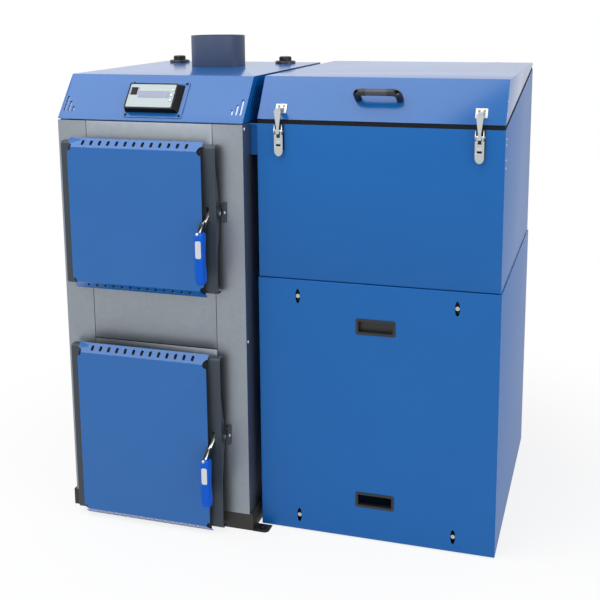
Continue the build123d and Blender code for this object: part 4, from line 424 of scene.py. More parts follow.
# Aluminium foil on mineral wool: bright, crumpled in folds about 25 mm wide.
foil_gloss = {"Metallic": 0.6, "Roughness": 0.45}
foil = finish("aluminium foil facing", ("A9BBDA",), None, (25, 5.0, 0.5, 2), foil_gloss)
boiler_left_x, boiler_front_y, hood_low_z = -0.6415, -0.388, 1.226
hood_setback, hood_rise = 0.100, 0.124
hood_slope = slope_frame(boiler_left_x, boiler_front_y, hood_low_z, hood_setback, hood_rise)
hood_width = 0.580
hood_slope_length = math.hypot(hood_setback, hood_rise)
board_under = 4 * millimetre
board_depth = 12 * millimetre
board_inset = 3 * millimetre
board_margin = 18 * millimetre
board_mesh = block(
    (board_inset, hood_width - board_inset),
    (board_margin, hood_slope_length - board_margin),
    (-board_under - board_depth, -board_under),
    hood_slope,
)
board = new_piece("hood_insulation", board_mesh, foil, "cabinets")
softened(board, 3 * millimetre, 3)

# Door bodies: 4 mm plate with its upper and lower edges bent back, under a dark blue-grey powder coat with a
# fine texture. The keepers on the casing and the hinges have the same coat. Its highlights are soft and
# broad, with grains about 1 mm wide.
door_tones = ("28333E", "323E4A")
door_gloss = {"Roughness": 0.45, "IOR": 1.5}
door_coat = finish("dark textured powder coat", door_tones, (1.0, 2.0), (1.0, 2.0, 0.3, 0.15), door_gloss)
plate_edge = 0.8 * millimetre
for name in ("upper_door_body", "lower_door_body", "latch_keepers", "hinge_brackets"):
    dressed(name, door_coat, plate_edge)


# Door pads: painted shade. A black sheet inside each door cover darkens the rows of holes in its slanting
# edges, where the inside of the cover lies in shade. Strips of the same sheet darken the joints of the casing's
# front sheets.
def skin(work, rings):
    """Joins rings of vertices by faces. A ring of one vertex is a pole."""
    count = max(len(ring) for ring in rings)
    for lower, upper in zip(rings, rings[1:]):
        for i in range(count):
            j = (i + 1) % count
            corners = [ring[k % len(ring)] for ring, k in ((lower, i), (lower, j), (upper, j), (upper, i))]
            work.faces.new(list(dict.fromkeys(corners)))


def prism(outline, low, high, matrix):
    """Mesh of an outline in a plane, drawn out between two heights and placed by a matrix."""
    work = bmesh.new()
    ends = [[work.verts.new((x, y, z)) for x, y in outline] for z in (low, high)]
    work.faces.new(ends[0])
    work.faces.new(ends[1])
    skin(work, ends)
    work.transform(matrix)
    bmesh.ops.recalc_face_normals(work, faces=work.faces)
    return mesh_of(work, "prism")


# The black sheet of painted shade has no gloss, and tufts about 3 mm wide.
shade_sheet = finish("black sheet of painted shade", ("06080B", "11141A"), (3, 4.0), None, {"Roughness": 0.95})
still = Matrix.Identity(4)
along_x = Matrix(((0, 0, 1, 0), (1, 0, 0, 0), (0, 1, 0, 0), (0, 0, 0, 1)))
pad_left_x, pad_right_x = -0.577, -0.168
pad_front_y, pad_rear_y = -0.4465, -0.4275
# Each pad is painted shade: a black sheet that makes the holes in the cover's slanting edges dark.
for name, low, high in (("upper", 0.7355, 1.1685), ("lower", 0.0115, 0.5485)):
    slant = pad_rear_y - pad_front_y
    outline = [(pad_rear_y, low), (pad_rear_y, high), (pad_front_y, high - slant), (pad_front_y, low + slant)]
    shade_pad_mesh = prism(outline, pad_left_x, pad_right_x, along_x)
    solid(name + "_cover_pad", shade_pad_mesh, shade_sheet, name + "_door")
# Painted shade: thin black strips in the joints of the front sheets, where the gaps lie in shade.
seam_y = (-0.3874, -0.3866)
for name, sides_x, sides_z in (
    ("left", (-0.55045, -0.54905), (0.0525, 1.2215)),
    ("right", (-0.15395, -0.15255), (0.0525, 1.2215)),
    ("middle", (-0.5489, -0.1541), (0.5592, 0.5618)),
):
    solid(name + "_joint_strip", block(sides_x, seam_y, sides_z, still), shade_sheet, "cabinets")


# Plated fittings: latch levers, toggle latches, strikes, hinges, screws and studs are plated steel. Zinc
# plate is grey and slightly green, and the nickel plate of the toggles is brighter and warmer.
def plated_steel(name, dull, bright_tone, least_rough, most_rough):
    """Bright plate on stamped steel: clear but broken reflections, a mottle about 4 mm wide."""
    gloss = {"Metallic": 1.0, "Roughness": (least_rough, most_rough)}
    return finish(name, (dull, bright_tone), (4, 3.0), None, gloss)


zinc = plated_steel("bright zinc plate", "A9AFAB", "C3C7C2", 0.22, 0.36)
nickel = plated_steel("nickel plate", "AEB2B3", "CBCFD0", 0.16, 0.3)
bright_nickel = plated_steel("bright nickel plate", "B4B9BB", "CDD1D3", 0.48, 0.6)
copper_screws = plated_steel("yellow passivated zinc", "A08A62", "C0A878", 0.25, 0.38)
stamped_edge = 0.4 * millimetre
for name in ("lid_hinges", "panel_studs"):
    dressed(name, zinc, stamped_edge, small_outer)


# Screw and rivet heads: made once with a radius of 1, then sized and set on points by one tree of geometry
# nodes. A screw head is a low dome with a cross recess, and a rivet head is a plain dome.
def turned(name, profile, segments, matrix):
    """Mesh turned round Z from (radius, height) pairs. A radius of zero makes a pole."""
    work = bmesh.new()
    rings = []
    for radius, height in profile:
        if radius == 0:
            rings.append([work.verts.new((0, 0, height))])
        else:
            steps = [2 * math.pi * i / segments for i in range(segments)]
            rings.append([work.verts.new((radius * math.cos(a), radius * math.sin(a), height)) for a in steps])
    skin(work, rings)
    bmesh.ops.recalc_face_normals(work, faces=work.faces)
    work.transform(matrix)
    return mesh_of(work, name)


dome_profile = [(0, 0), (1, 0), (1, 0.16), (0.93, 0.38), (0.74, 0.58), (0.42, 0.7), (0, 0.74)]
rivet_head = bpy.data.objects.new("rivet_head", turned("rivet_head", dome_profile, 20, still))
screw_head = bpy.data.objects.new("screw_head", turned("screw_head", dome_profile, 20, still))
for head in (rivet_head, screw_head):
    bpy.context.scene.collection.objects.link(head)
recess_half_length = 0.55
recess_half_width = 0.13
recess_floor = 0.3
for half_x, half_y in ((recess_half_length, recess_half_width), (recess_half_width, recess_half_length)):
    cut(screw_head, block((-half_x, half_x), (-half_y, half_y), (recess_floor, 1.0), still))


def geometry_tree(name, kinds):
    """A geometry tree, and the outputs that bring in its geometry, the inputs in kinds and its finish."""
    tree = bpy.data.node_groups.new(name, "GeometryNodeTree")
    for label, kind in {"Geometry": "Geometry", **kinds, "Finish": "Material"}.items():
        tree.interface.new_socket(label, in_out="INPUT", socket_type="NodeSocket" + kind)
    tree.interface.new_socket("Geometry", in_out="OUTPUT", socket_type="NodeSocketGeometry")
    return tree, add_node(tree, "NodeGroupInput", {}, {}).outputs


def head_tree():
    """Geometry nodes: one head on each vertex, turned and sized alike, as a real mesh with its material."""
    tree, given = geometry_tree("heads on points", {"Head": "Object", "Turn": "Vector", "Radius": "Float"})
    shape = add_node(tree, "GeometryNodeObjectInfo", {}, {"Object": given["Head"]})
    size = add_node(tree, "ShaderNodeCombineXYZ", {}, {name: given["Radius"] for name in ("X", "Y", "Z")})
    heads = add_node(
        tree,
        "GeometryNodeInstanceOnPoints",
        {},
        {
            "Points": given["Geometry"],
            "Instance": shape.outputs["Geometry"],
            "Rotation": given["Turn"],
            "Scale": size.outputs[0],
        },
    )
    real = add_node(tree, "GeometryNodeRealizeInstances", {}, {"Geometry": heads.outputs[0]})
    cover = {"Geometry": real.outputs[0], "Material": given["Finish"]}
    painted = add_node(tree, "GeometryNodeSetMaterial", {}, cover)
    add_node(tree, "NodeGroupOutput", {}, {"Geometry": painted.outputs[0]})
    return tree


heads_on_points = head_tree()


def run_tree(name, places, tree, inputs, body):
    """Runs a geometry tree on points and keeps the result as a plain mesh. inputs are by socket name."""
    data = bpy.data.meshes.new(name)
    data.from_pydata(places, [], [])
    piece = bpy.data.objects.new(name, data)
    bpy.context.scene.collection.objects.link(piece)
    maker = piece.modifiers.new(name, "NODES")
    maker.node_group = tree
    for item in tree.interface.items_tree:
        if item.in_out == "INPUT" and item.name in inputs:
            maker[item.identifier] = inputs[item.name]
    plain_mesh(piece)
    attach(piece, body)
    return piece


def set_heads(name, places, head, turn, radius, metal, body, stands_for=None):
    """Sets one head on each place, sized in millimetres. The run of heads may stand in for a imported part."""
    given = {"Head": head, "Turn": turn, "Radius": radius * millimetre, "Finish": metal}
    run = run_tree(name, places, heads_on_points, given, body)
    if stands_for is not None:
        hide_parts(stands_for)


toward_front = (math.radians(90), 0, 0)
toward_right = (0, math.radians(90), 0)
toward_rear = (math.radians(-90), 0, 0)
lid_setback, lid_rise = 0.075, 0.115
up_hood_slope = (math.atan2(hood_rise, hood_setback), 0, 0)
up_lid_slope = (math.atan2(lid_rise, lid_setback), 0, 0)

# Casing screws: two zinc plated pan heads near the front edge of the boiler's right side, a domed nut low on
# its left side, and four dark screws that hold the control unit on the hood.
boiler_right_x = -0.0615
side_screw_y = -0.3753
side_screw_places = [(boiler_right_x, side_screw_y, 1.209), (boiler_right_x, side_screw_y, 0.588)]
set_heads("side_screws", side_screw_places, screw_head, toward_right, 5.5, zinc, "cabinets", "casing_screws")

# Blackened steel: dark grey, half glossy, worn a little lighter in patches 3 mm wide. The same finish serves as
# painted shade on the toggle arms and base plates.
black_gloss = {"Metallic": 0.7, "Roughness": 0.35}
black_steel_and_shade = finish("blackened steel and painted shade", ("1A2230", "2E3848"), (3, 3.0), None, black_gloss)
plate_middle = (300 * millimetre, 72.6 * millimetre)
plate_top = 2.5 * millimetre
plate_screw_across, plate_screw_up = 84 * millimetre, 54.5 * millimetre
plate_screw_places = [
    hood_slope @ Vector((x, y, plate_top))
    for x in around(plate_middle[0], plate_screw_across)
    for y in around(plate_middle[1], plate_screw_up)
]
set_heads(
    "plate_screws", plate_screw_places, screw_head, up_hood_slope, 4.2, black_steel_and_shade, "cabinets", "casing_screws"
)
nut_y, nut_height = -0.353, 0.0705
nut_profile = [
    (0, 0), (12.5, 0), (12.5, 1.6), (9.5, 1.6), (9.5, 7.0), (8.6, 10.8), (6.4, 13.8), (3.4, 15.4), (0, 15.9)
]
nut_place = (
    Matrix.Translation((boiler_left_x, nut_y, nut_height))
    @ Matrix.Rotation(math.radians(-90), 4, "Y")
    @ Matrix.Scale(millimetre, 4)
)
solid("domed_nut", turned("domed_nut", nut_profile, 32, nut_place), zinc, "cabinets", "casing_screws")

anchor_profile = [
    (0, 0.4), (5.8, 0.4), (5.8, 3.0), (10.5, 3.0), (10.5, 4.6), (8.6, 4.6), (8.6, 9.6), (7.8, 10.6), (0, 10.6)
]
anchor_place = Matrix.Translation((-0.0285, -0.366, 0)) @ Matrix.Scale(millimetre, 4)
anchor_mesh = turned("anchor bolt", anchor_profile, 24, anchor_place)
solid("anchor_bolt", anchor_mesh, black_steel_and_shade, "cabinets")

# Rivets and tapping screws: plated rivets at the lid's side and the bin's front corner, and tapping screws
# that hold the rear sheets of both cabinets.
hopper_right_x = 0.6545
rivet_radius = 3.0
lid_rivet_places = [(hopper_right_x, -0.302, 1.294), (hopper_right_x, -0.318, 1.262)]
bin_rivet_places = [(hopper_right_x, -0.318, z) for z in (1.196, 1.180, 1.140, 1.118)]
set_heads("lid_rivets", lid_rivet_places, rivet_head, toward_right, rivet_radius, zinc, "lid")
set_heads("bin_rivets", bin_rivet_places, rivet_head, toward_right, rivet_radius, zinc, "cabinets")
boiler_rear_y = 0.392
casing_rear_y = 0.487
rear_rows = [(x, boiler_rear_y, z / 10) for x in (-0.630, -0.575, -0.128, -0.073) for z in range(1, 13, 2)]
rear_rows += [(x, casing_rear_y, z / 10) for x in (-0.020, 0.639) for z in range(1, 8, 2)]
set_heads("rear_screws", rear_rows, screw_head, toward_rear, 3.6, zinc, "cabinets")


# Moulded plastics: the grips are glossy blue nylon. The caps, the recessed handles and the elbows of the lid
# handle are black nylon, and the control unit is black ABS with a pale film on its face.
def moulded_plastic(name, colour, roughness, grain_size=0.8, depth=0.05, sheen=0.5):
    """Moulded plastic: even colour, a spark-eroded grain in millimetres. sheen is the specular level."""
    limits = (roughness - 0.04, roughness + 0.06)
    gloss = {"IOR": 1.5, "Specular IOR Level": sheen, "Roughness": limits}
    return finish(name, (colour,), None, (grain_size, 2.0, 0.15, depth), gloss)


black_nylon = moulded_plastic("black glass-filled nylon", "1B1D20", 0.36)
dressed("panel_handles", black_nylon, stamped_edge, small_outer)

# Latch levers: a bent bar through the door, from a shaft that carries a dark hook at the door's edge. The bar
# is zinc plated and polished by hands, the hook is coated with the door, and a bolt closes the shaft's end.
latch_heights = {"upper": 0.972, "lower": 0.300}
hook_from_x = -0.1314
shaft_end_x = -0.1261
for name, height in latch_heights.items():
    lever = dressed(name + "_latch_lever", zinc, stamped_edge, small_outer)
    second_finish(lever, door_coat, lambda face: hook_from_x <= face.center.x < shaft_end_x)
keeper_bolt_places = [(-0.1177, -0.3955, z) for z in latch_heights.values()]
set_heads("keeper_bolts", keeper_bolt_places, rivet_head, toward_right, 5.0, zinc, "cabinets")

# Latch grips: moulded in two halves round the lever's tang, drawn in at the back and with a swell near the
# foot. Each has a dark steel fork and a bright bolt at its top, and a plain silver plate on its front.
grip_nylon = moulded_plastic("glossy blue nylon", "0058C8", 0.34, 1.2, 0.03, 0.15)
label_metal = plated_steel("brushed aluminium label", "C9CCD0", "E0E3E6", 0.3, 0.42)
grip_half_width = 0.014
lever_middle_x = -0.1575
grip_front_y = -0.500
grip_sections = [
    (-152.0, 11.0, 22.0, 0.30),
    (-150.5, 8.0, 25.5, 0.62),
    (-146.0, 4.0, 28.5, 0.86),
    (-138.0, 1.2, 31.0, 1.0),
    (-126.0, 0.4, 32.0, 1.0),
    (-112.0, 0.2, 30.5, 1.0),
    (-92.0, 0.6, 26.5, 0.97),
    (-70.0, 0.8, 25.0, 0.96),
    (-48.0, 0.6, 26.0, 0.98),
    (-26.0, 0.4, 29.5, 1.0),
    (-12.0, 1.6, 31.5, 1.0),
    (-5.0, 4.2, 30.5, 0.92),
    (-1.5, 7.0, 28.0, 0.76),
    (0.0, 10.5, 24.0, 0.45),
]
ring_steps = 28
roundness = 0.38


def grip_mesh(top):
    """Rounded grip through sections of (drop, front, back, width share), in millimetres from its top."""
    work = bmesh.new()
    rings = []
    for drop, front, back, share in grip_sections:
        middle_y = grip_front_y + (front + back) / 2 * millimetre
        half_y = (back - front) / 2 * millimetre
        ring = []
        for step in range(ring_steps):
            angle = 2 * math.pi * step / ring_steps
            side, depth = math.cos(angle), math.sin(angle)
            x = math.copysign(abs(side) ** roundness, side) * grip_half_width * share
            y = math.copysign(abs(depth) ** roundness, depth) * half_y
            ring.append(work.verts.new((lever_middle_x + x, middle_y + y, top + drop * millimetre)))
        rings.append(ring)
    skin(work, rings)
    work.faces.new(rings[0][::-1])
    work.faces.new(rings[-1])
    bmesh.ops.recalc_face_normals(work, faces=work.faces)
    return mesh_of(work, "grip")


def rounded_plate(width, height, thickness, corner, matrix):
    """Mesh of a thin plate with rounded corners, placed by a matrix."""
    outline = []
    for x_sign, y_sign, start in ((1, -1, -90), (1, 1, 0), (-1, 1, 90), (-1, -1, 180)):
        for step in range(5):
            angle = math.radians(start + 90 * step / 4)
            x = x_sign * (width / 2 - corner) + corner * math.cos(angle)
            y = y_sign * (height / 2 - corner) + corner * math.sin(angle)
            outline.append((x, y))
    work = bmesh.new()
    ends = [[work.verts.new((x, y, z)) for x, y in outline] for z in (0, thickness)]
    work.faces.new(ends[0][::-1])
    work.faces.new(ends[1])
    skin(work, ends)
    work.transform(matrix)
    return mesh_of(work, "plate")


lever_bend_y = -0.406
lever_slant = math.tan(math.radians(31))
grip_over_tang = 7 * millimetre
tang_y = -0.484
label_width = 17 * millimetre
label_height = 50 * millimetre
label_thickness = 0.9 * millimetre
label_corner = 5 * millimetre
bolt_profile = [(0, 0), (5, 0), (5, 1.2), (4.4, 2.6), (2.6, 3.6), (0, 3.9)]
fork_sides = ((-6.4, -4.2), (4.2, 6.4))
fork_y = tang_y - 6 * millimetre
fork_outline = [(2, -9), (13, -6), (34, 14), (34, 24), (26, 26), (6, 8), (-1, 0)]
for name, height in latch_heights.items():
    top = height - (lever_bend_y - tang_y) * lever_slant + grip_over_tang
    grip = new_piece(name + "_grip", grip_mesh(top), grip_nylon, name + "_latch")
    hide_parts(name + "_latch_grip")
    smooth = grip.modifiers.new("smooth", "SUBSURF")
    smooth.levels = 1
    smooth.render_levels = 1
    plain_mesh(grip)
    label_middle = (lever_middle_x, grip_front_y + 1.0 * millimetre, top - 47 * millimetre)
    label_place = Matrix.Translation(label_middle) @ Matrix.Rotation(math.radians(90), 4, "X")
    label_mesh = rounded_plate(label_width, label_height, label_thickness, label_corner, label_place)
    solid(name + "_grip_label", label_mesh, label_metal, name + "_latch")
    bolt_middle = (lever_middle_x - 4 * millimetre, grip_front_y + 6.5 * millimetre, top - 5 * millimetre)
    bolt_turn = Matrix.Rotation(math.radians(65), 4, "X")
    bolt_place = Matrix.Translation(bolt_middle) @ bolt_turn @ Matrix.Scale(millimetre, 4)
    solid(name + "_grip_bolt", turned("grip bolt", bolt_profile, 20, bolt_place), zinc, name + "_latch")
    fork_place = Matrix.Translation((lever_middle_x, fork_y, top)) @ along_x @ Matrix.Scale(millimetre, 4)
    work = bmesh.new()
    for low, high in fork_sides:
        work.from_mesh(prism(fork_outline, low, high, fork_place))
    fork = new_piece(name + "_grip_fork", mesh_of(work, "fork"), black_steel_and_shade, name + "_latch")
    softened(fork, 0.7 * millimetre)

# Toggle latches: stamped and nickel plated. Each lever has straight sides and a pointed tip, with a bright lip
# bent out of its lower window. The strike has a slot over its nose and two yellow screws. Painted shade: the
# lower part of each arm, the rear of the base plate and a sheet in each slot are black, where they lie in
# shade.
along_y = Matrix(((1, 0, 0, 0), (0, 0, -1, 0), (0, 1, 0, 0), (0, 0, 0, 1)))
toggle_middles = {"left": 0.0305, "right": 0.5885}
side_outline = [(12.5, 1197), (12.5, 1130), (20, 1130), (20, 1197)]
tip_outline = [(12.5, 1160.4), (12.5, 1147.5), (11.6, 1142.2), (9.0, 1137.4), (4.6, 1133.9), (0, 1133.0)]
window_depth = (340, 362)
tip_depth = (347.4, 352.7)
lip_half_width = 6.6 * millimetre
trim_half_width = 20 * millimetre
arm_top = 1.2625
arm_shade_below = 1.1945
for name, middle in toggle_middles.items():
    lever = dressed(name + "_toggle_lever", nickel, stamped_edge, small_outer)
    tip_place = Matrix.Translation((middle, 0, 0)) @ along_y @ Matrix.Scale(millimetre, 4)
    for side in (-1, 1):
        outline = [(side * x, z) for x, z in side_outline]
        cut(lever, prism(outline, *window_depth, tip_place))
    outline = tip_outline + [(-x, z) for x, z in tip_outline[:-1]][::-1]
    tip_mesh = prism(outline, *tip_depth, tip_place)
    tip = new_piece(name + "_toggle_tip", tip_mesh, nickel, name + "_toggle")
    softened(tip, 0.7 * millimetre)
    arm = dressed(name + "_draw_arm", bright_nickel, stamped_edge, small_outer)
    cut(arm, block(around(middle, trim_half_width), (-0.37, -0.355), (arm_top, arm_top + 0.02), still))
    # Painted shade: the arm is black below this height, where it lies in shade in the lever's windows.
    second_finish(arm, black_steel_and_shade, lambda face: face.center.z < arm_shade_below)
    lip_mesh = block(around(middle, lip_half_width), (-0.3532, -0.3508), (1.1667, 1.1746), still)
    lip = new_piece(name + "_toggle_lip", lip_mesh, bright_nickel, name + "_toggle")
    softened(lip, 0.8 * millimetre)
bases = dressed("toggle_bases", zinc, stamped_edge, small_outer)
plate_shade_from_y = -0.3422
# Painted shade: the base plate's faces behind this depth are black, where they lie in shade in the lever's
# windows.
second_finish(bases, black_steel_and_shade, lambda face: face.center.y > plate_shade_from_y)
lid_middle_x, lid_front_y, lid_low_z = 0.3095, -0.340, 1.235
lid_slope = slope_frame(lid_middle_x, lid_front_y, lid_low_z, lid_setback, lid_rise)
toggle_offset = 0.279
slot_half_width = 10 * millimetre
slot_low, slot_high = 31 * millimetre, 34.5 * millimetre
slot_gap = 0.1 * millimetre
slot_through = (-2 * millimetre, 4 * millimetre)
strikes = dressed("toggle_strikes", bright_nickel, stamped_edge, small_outer)
for side in (-1, 1):
    middle = side * toggle_offset
    cut(strikes, block(around(middle, slot_half_width), (slot_low, slot_high), slot_through, lid_slope))
    # Painted shade: a black sheet just above the lid in each slot, where the lid lies in shade.
    slot_shade_mesh = block(
        around(middle, slot_half_width - slot_gap),
        (slot_low + slot_gap, slot_high - slot_gap),
        (0.2 * millimetre, 0.8 * millimetre),
        lid_slope,
    )
    solid(("left" if side < 0 else "right") + "_strike_slot", slot_shade_mesh, shade_sheet, "lid")
strike_screws = [
    lid_slope @ Vector((side * toggle_offset + x * millimetre, 41 * millimetre, 2 * millimetre))
    for side in (-1, 1)
    for x in (-7, 7)
]
set_heads("strike_screws", strike_screws, screw_head, up_lid_slope, 3.4, copper_screws, "lid")

# Lid handle: a dark grey tube between two moulded black elbows. Each elbow is held by a screw at the bottom
# of a round recess over its foot.
grey_tube = moulded_plastic("grey painted tube", "3B4048", 0.32, 1.0, 0.04)
handle_middle = 0.3065
handle_up = 70 * millimetre
foot_across = 58.5 * millimetre
recess_across = foot_across - 1.5 * millimetre
bar_out = 40 * millimetre
bend = 17 * millimetre
tube_radius = 9.6 * millimetre
elbow_radius = 10.0 * millimetre
elbow_reach = 12 * millimetre
recess_profile = [(0, 0.030), (0.0058, 0.030), (0.0062, 0.060), (0, 0.060)]


def round_bar(name, path, radius):
    """Mesh of a round bar along points, closed at both ends."""
    curve = bpy.data.curves.new(name, "CURVE")
    curve.dimensions = "3D"
    curve.bevel_depth = radius
    curve.bevel_resolution = 7
    curve.use_fill_caps = True
    line = curve.splines.new("POLY")
    line.points.add(len(path) - 1)
    for point, place in zip(line.points, path):
        point.co = (*place, 1)
    holder = bpy.data.objects.new(name, curve)
    bpy.context.scene.collection.objects.link(holder)
    bpy.context.view_layer.update()
    data = bpy.data.meshes.new_from_object(holder.evaluated_get(bpy.context.evaluated_depsgraph_get()))
    bpy.data.objects.remove(holder)
    return data


def on_lid(across, up, out):
    """Place on the lid's slope, across from the handle's middle."""
    return lid_slope @ Vector((across + handle_middle - lid_middle_x, up, out))


tube_half = foot_across - bend - elbow_reach / 2
tube_path = [on_lid(-tube_half, handle_up, bar_out), on_lid(tube_half, handle_up, bar_out)]
tube_mesh = round_bar("tube", tube_path, tube_radius)
solid("lid_handle_tube", tube_mesh, grey_tube, "lid", "lid_handle")
for side, name in ((-1, "left"), (1, "right")):
    path = [on_lid(side * foot_across, handle_up, 0), on_lid(side * foot_across, handle_up, bar_out - bend)]
    for step in range(1, 10):
        angle = math.radians(90 * step / 9)
        path.append(
            on_lid(
                side * (foot_across - bend * (1 - math.cos(angle))),
                handle_up,
                bar_out - bend * (1 - math.sin(angle)),
            )
        )
    path.append(on_lid(side * (foot_across - bend - elbow_reach), handle_up, bar_out))
    elbow_mesh = round_bar("elbow", path, elbow_radius)
    elbow = solid("lid_handle_elbow_" + name, elbow_mesh, black_nylon, "lid", "lid_handle")
    recess_place = Matrix.Translation(on_lid(side * recess_across, handle_up, 0)) @ lid_slope.to_3x3().to_4x4()
    cut(elbow, turned("recess", recess_profile, 24, recess_place))
handle_screws = [on_lid(side * recess_across, handle_up, 30 * millimetre) for side in (-1, 1)]
set_heads("lid_handle_screws", handle_screws, screw_head, up_lid_slope, 4.8, zinc, "lid")

# Hems: the front edges of the bin and of the casing below it are folded over. The fold is a thin round bead
# that catches the light.
hem_radius = 2.2 * millimetre
for name, hem_y, hem_z, left_x, right_x in (
    ("bin", -0.3379, 1.2199, -0.0605, 0.6535),
    ("casing", -0.3379, 0.7737, -0.0335, 0.6525),
):
    hem_mesh = round_bar("hem", [(left_x, hem_y, hem_z), (right_x, hem_y, hem_z)], hem_radius)
    solid(name + "_front_hem", hem_mesh, satin_blue, "cabinets")

# Control unit: a blue mounting plate, a black moulded box with tapering sides, and a pale front film with
# openings for a lavender display, a rocker switch and three buttons.
housing_plastic = moulded_plastic("black housing ABS", "05070B", 0.45, sheen=0.2)
face_film = moulded_plastic("pale grey front film", "ABB8BA", 0.35, 0.6, 0.02)
display_film = moulded_plastic("lavender display film", "8A8FA8", 0.16, 0.6, 0.0)
button_plastic = moulded_plastic("pale button plastic", "DCE6E8", 0.3, 0.6, 0.02)
collar_plastic = moulded_plastic("grey collar plastic", "9AA5AE", 0.35, 0.6, 0.02)
from_hood_slope = hood_slope.inverted()
housing_corner = 7.0 * millimetre
housing_top = 21.9 * millimetre


def housing_rounding(edge):
    """Rounds the slanted edges of the housing most, the plate's corners less, and the rim a little."""
    heights = sorted((from_hood_slope @ vertex.co).z for vertex in edge.verts)
    if heights[1] - heights[0] > 15 * millimetre:
        return 0.9
    if heights[0] > housing_top:
        return 0.3
    if heights[0] < 0.1 * millimetre and heights[1] > 2 * millimetre:
        return 1.0
    return 0.0


housing = dressed("control_housing", housing_plastic, housing_corner, housing_rounding)
housing_points = [(from_hood_slope @ vertex.co).z for vertex in housing.data.vertices]
blue_below = plate_top + 0.2 * millimetre
second_finish(housing, blue, lambda face: max(housing_points[i] for i in face.vertices) < blue_below)
dressed("control_face", face_film, stamped_edge)
film_top = 24 * millimetre
face_middle = (291.5 * millimetre, 70.6 * millimetre)
face_width, face_height = 150 * millimetre, 85 * millimetre
rim_width = 3.5 * millimetre
rim_over = 1.0 * millimetre
rim_place = hood_slope @ Matrix.Translation((*face_middle, film_top - 0.8 * millimetre))
rim_thickness, rim_corner = 1.3 * millimetre, 4 * millimetre
rim_mesh = rounded_plate(face_width + rim_over, face_height + rim_over, rim_thickness, rim_corner, rim_place)
rim = new_piece("control_face_rim", rim_mesh, housing_plastic, "cabinets")
hole_width, hole_height = face_width - 2 * rim_width, face_height - 2 * rim_width
hole_place = hood_slope @ Matrix.Translation((*face_middle, film_top - 3 * millimetre))
cut(rim, rounded_plate(hole_width, hole_height, 6 * millimetre, 3 * millimetre, hole_place))
rocker_middle = (235.5 * millimetre, 85.6 * millimetre)
bezel_place = hood_slope @ Matrix.Translation((rocker_middle[0], rocker_middle[1], film_top - 1.6 * millimetre))
bezel_sides = (28.4 * millimetre, 26.4 * millimetre)
bezel_mesh = rounded_plate(*bezel_sides, 1.6 * millimetre, 1 * millimetre, bezel_place)
solid("rocker_bezel", bezel_mesh, display_film, "cabinets")
key_outline = [(-11.8, -7), (11.8, -7), (11.8, 2.5), (8, 1.5), (3, 0.9), (-3, 0.9), (-8, 1.5), (-11.8, 2.5)]
key_place = (
    hood_slope
    @ Matrix.Translation((rocker_middle[0], rocker_middle[1], film_top))
    @ along_x
    @ Matrix.Scale(millimetre, 4)
)
key_half_width = 9.5
key_mesh = prism(key_outline, -key_half_width, key_half_width, key_place)
key = new_piece("rocker_key", key_mesh, housing_plastic, "rocker")
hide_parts("rocker_switch")
softened(key, 0.8 * millimetre)
for name in ("lower_button", "middle_button", "upper_button"):
    dressed(name, button_plastic, 0)
dressed("display_window", display_film, stamped_edge)
display_middle = (300.5 * millimetre, 74.1 * millimetre)
divider_mesh = block(
    (display_middle[0] + 31.5 * millimetre, display_middle[0] + 33.5 * millimetre),
    (display_middle[1] - 11.2 * millimetre, display_middle[1] + 11.2 * millimetre),
    (film_top - 1.5 * millimetre, film_top + 0.2 * millimetre),
    hood_slope,
)
divider = new_piece("display_divider", divider_mesh, face_film, "cabinets")
softened(divider, 0.15 * millimetre, 1)
collar_profile = [(4.5, -0.2), (6.2, -0.2), (6.2, 0.25), (5.6, 0.5), (4.9, 0.5), (4.5, 0.2), (4.5, -0.2)]
for name, up in (("lower", 56.6), ("middle", 74.1), ("upper", 91.6)):
    collar_middle = (355 * millimetre, up * millimetre, film_top)
    collar_place = hood_slope @ Matrix.Translation(collar_middle) @ Matrix.Scale(millimetre, 4)
    collar_mesh = turned("collar", collar_profile, 28, collar_place)
    solid(name + "_button_collar", collar_mesh, collar_plastic, "cabinets")


# Socket caps: black plastic plugs on the heating sockets, a flange with a domed shoulder and a crown with
# ribs for the fingers round it. The ribs are set on a circle by a second tree of geometry nodes.
def rib_tree():
    """Geometry nodes: upright ribs round a circle, each a narrow bar, as a real mesh with its material."""
    kinds = {"Count": "Int", "Ring Radius": "Float", "Rib Size": "Vector", "Turn": "Vector"}
    tree, given = geometry_tree("ring of ribs", kinds)
    circle = {"Vertices": given["Count"], "Radius": given["Ring Radius"]}
    ring = add_node(tree, "GeometryNodeMeshCircle", {}, circle)
    rib = add_node(tree, "GeometryNodeMeshCube", {}, {"Size": given["Rib Size"]})
    place = add_node(tree, "GeometryNodeInputPosition", {}, {})
    outward = add_node(tree, "FunctionNodeAlignEulerToVector", {"axis": "X"}, {"Vector": place.outputs[0]})
    ribs = add_node(
        tree,
        "GeometryNodeInstanceOnPoints",
        {},
        {"Points": ring.outputs[0], "Instance": rib.outputs[0], "Rotation": outward.outputs[0]},
    )
    real = add_node(tree, "GeometryNodeRealizeInstances", {}, {"Geometry": ribs.outputs[0]})
    turn = {"Geometry": real.outputs[0], "Rotation": given["Turn"]}
    turned_ring = add_node(tree, "GeometryNodeTransform", {}, turn)
    repeat = {"Points": given["Geometry"], "Instance": turned_ring.outputs[0]}
    rings = add_node(tree, "GeometryNodeInstanceOnPoints", {}, repeat)
    all_real = add_node(tree, "GeometryNodeRealizeInstances", {}, {"Geometry": rings.outputs[0]})
    cover = {"Geometry": all_real.outputs[0], "Material": given["Finish"]}
    painted = add_node(tree, "GeometryNodeSetMaterial", {}, cover)
    add_node(tree, "NodeGroupOutput", {}, {"Geometry": painted.outputs[0]})
    return tree


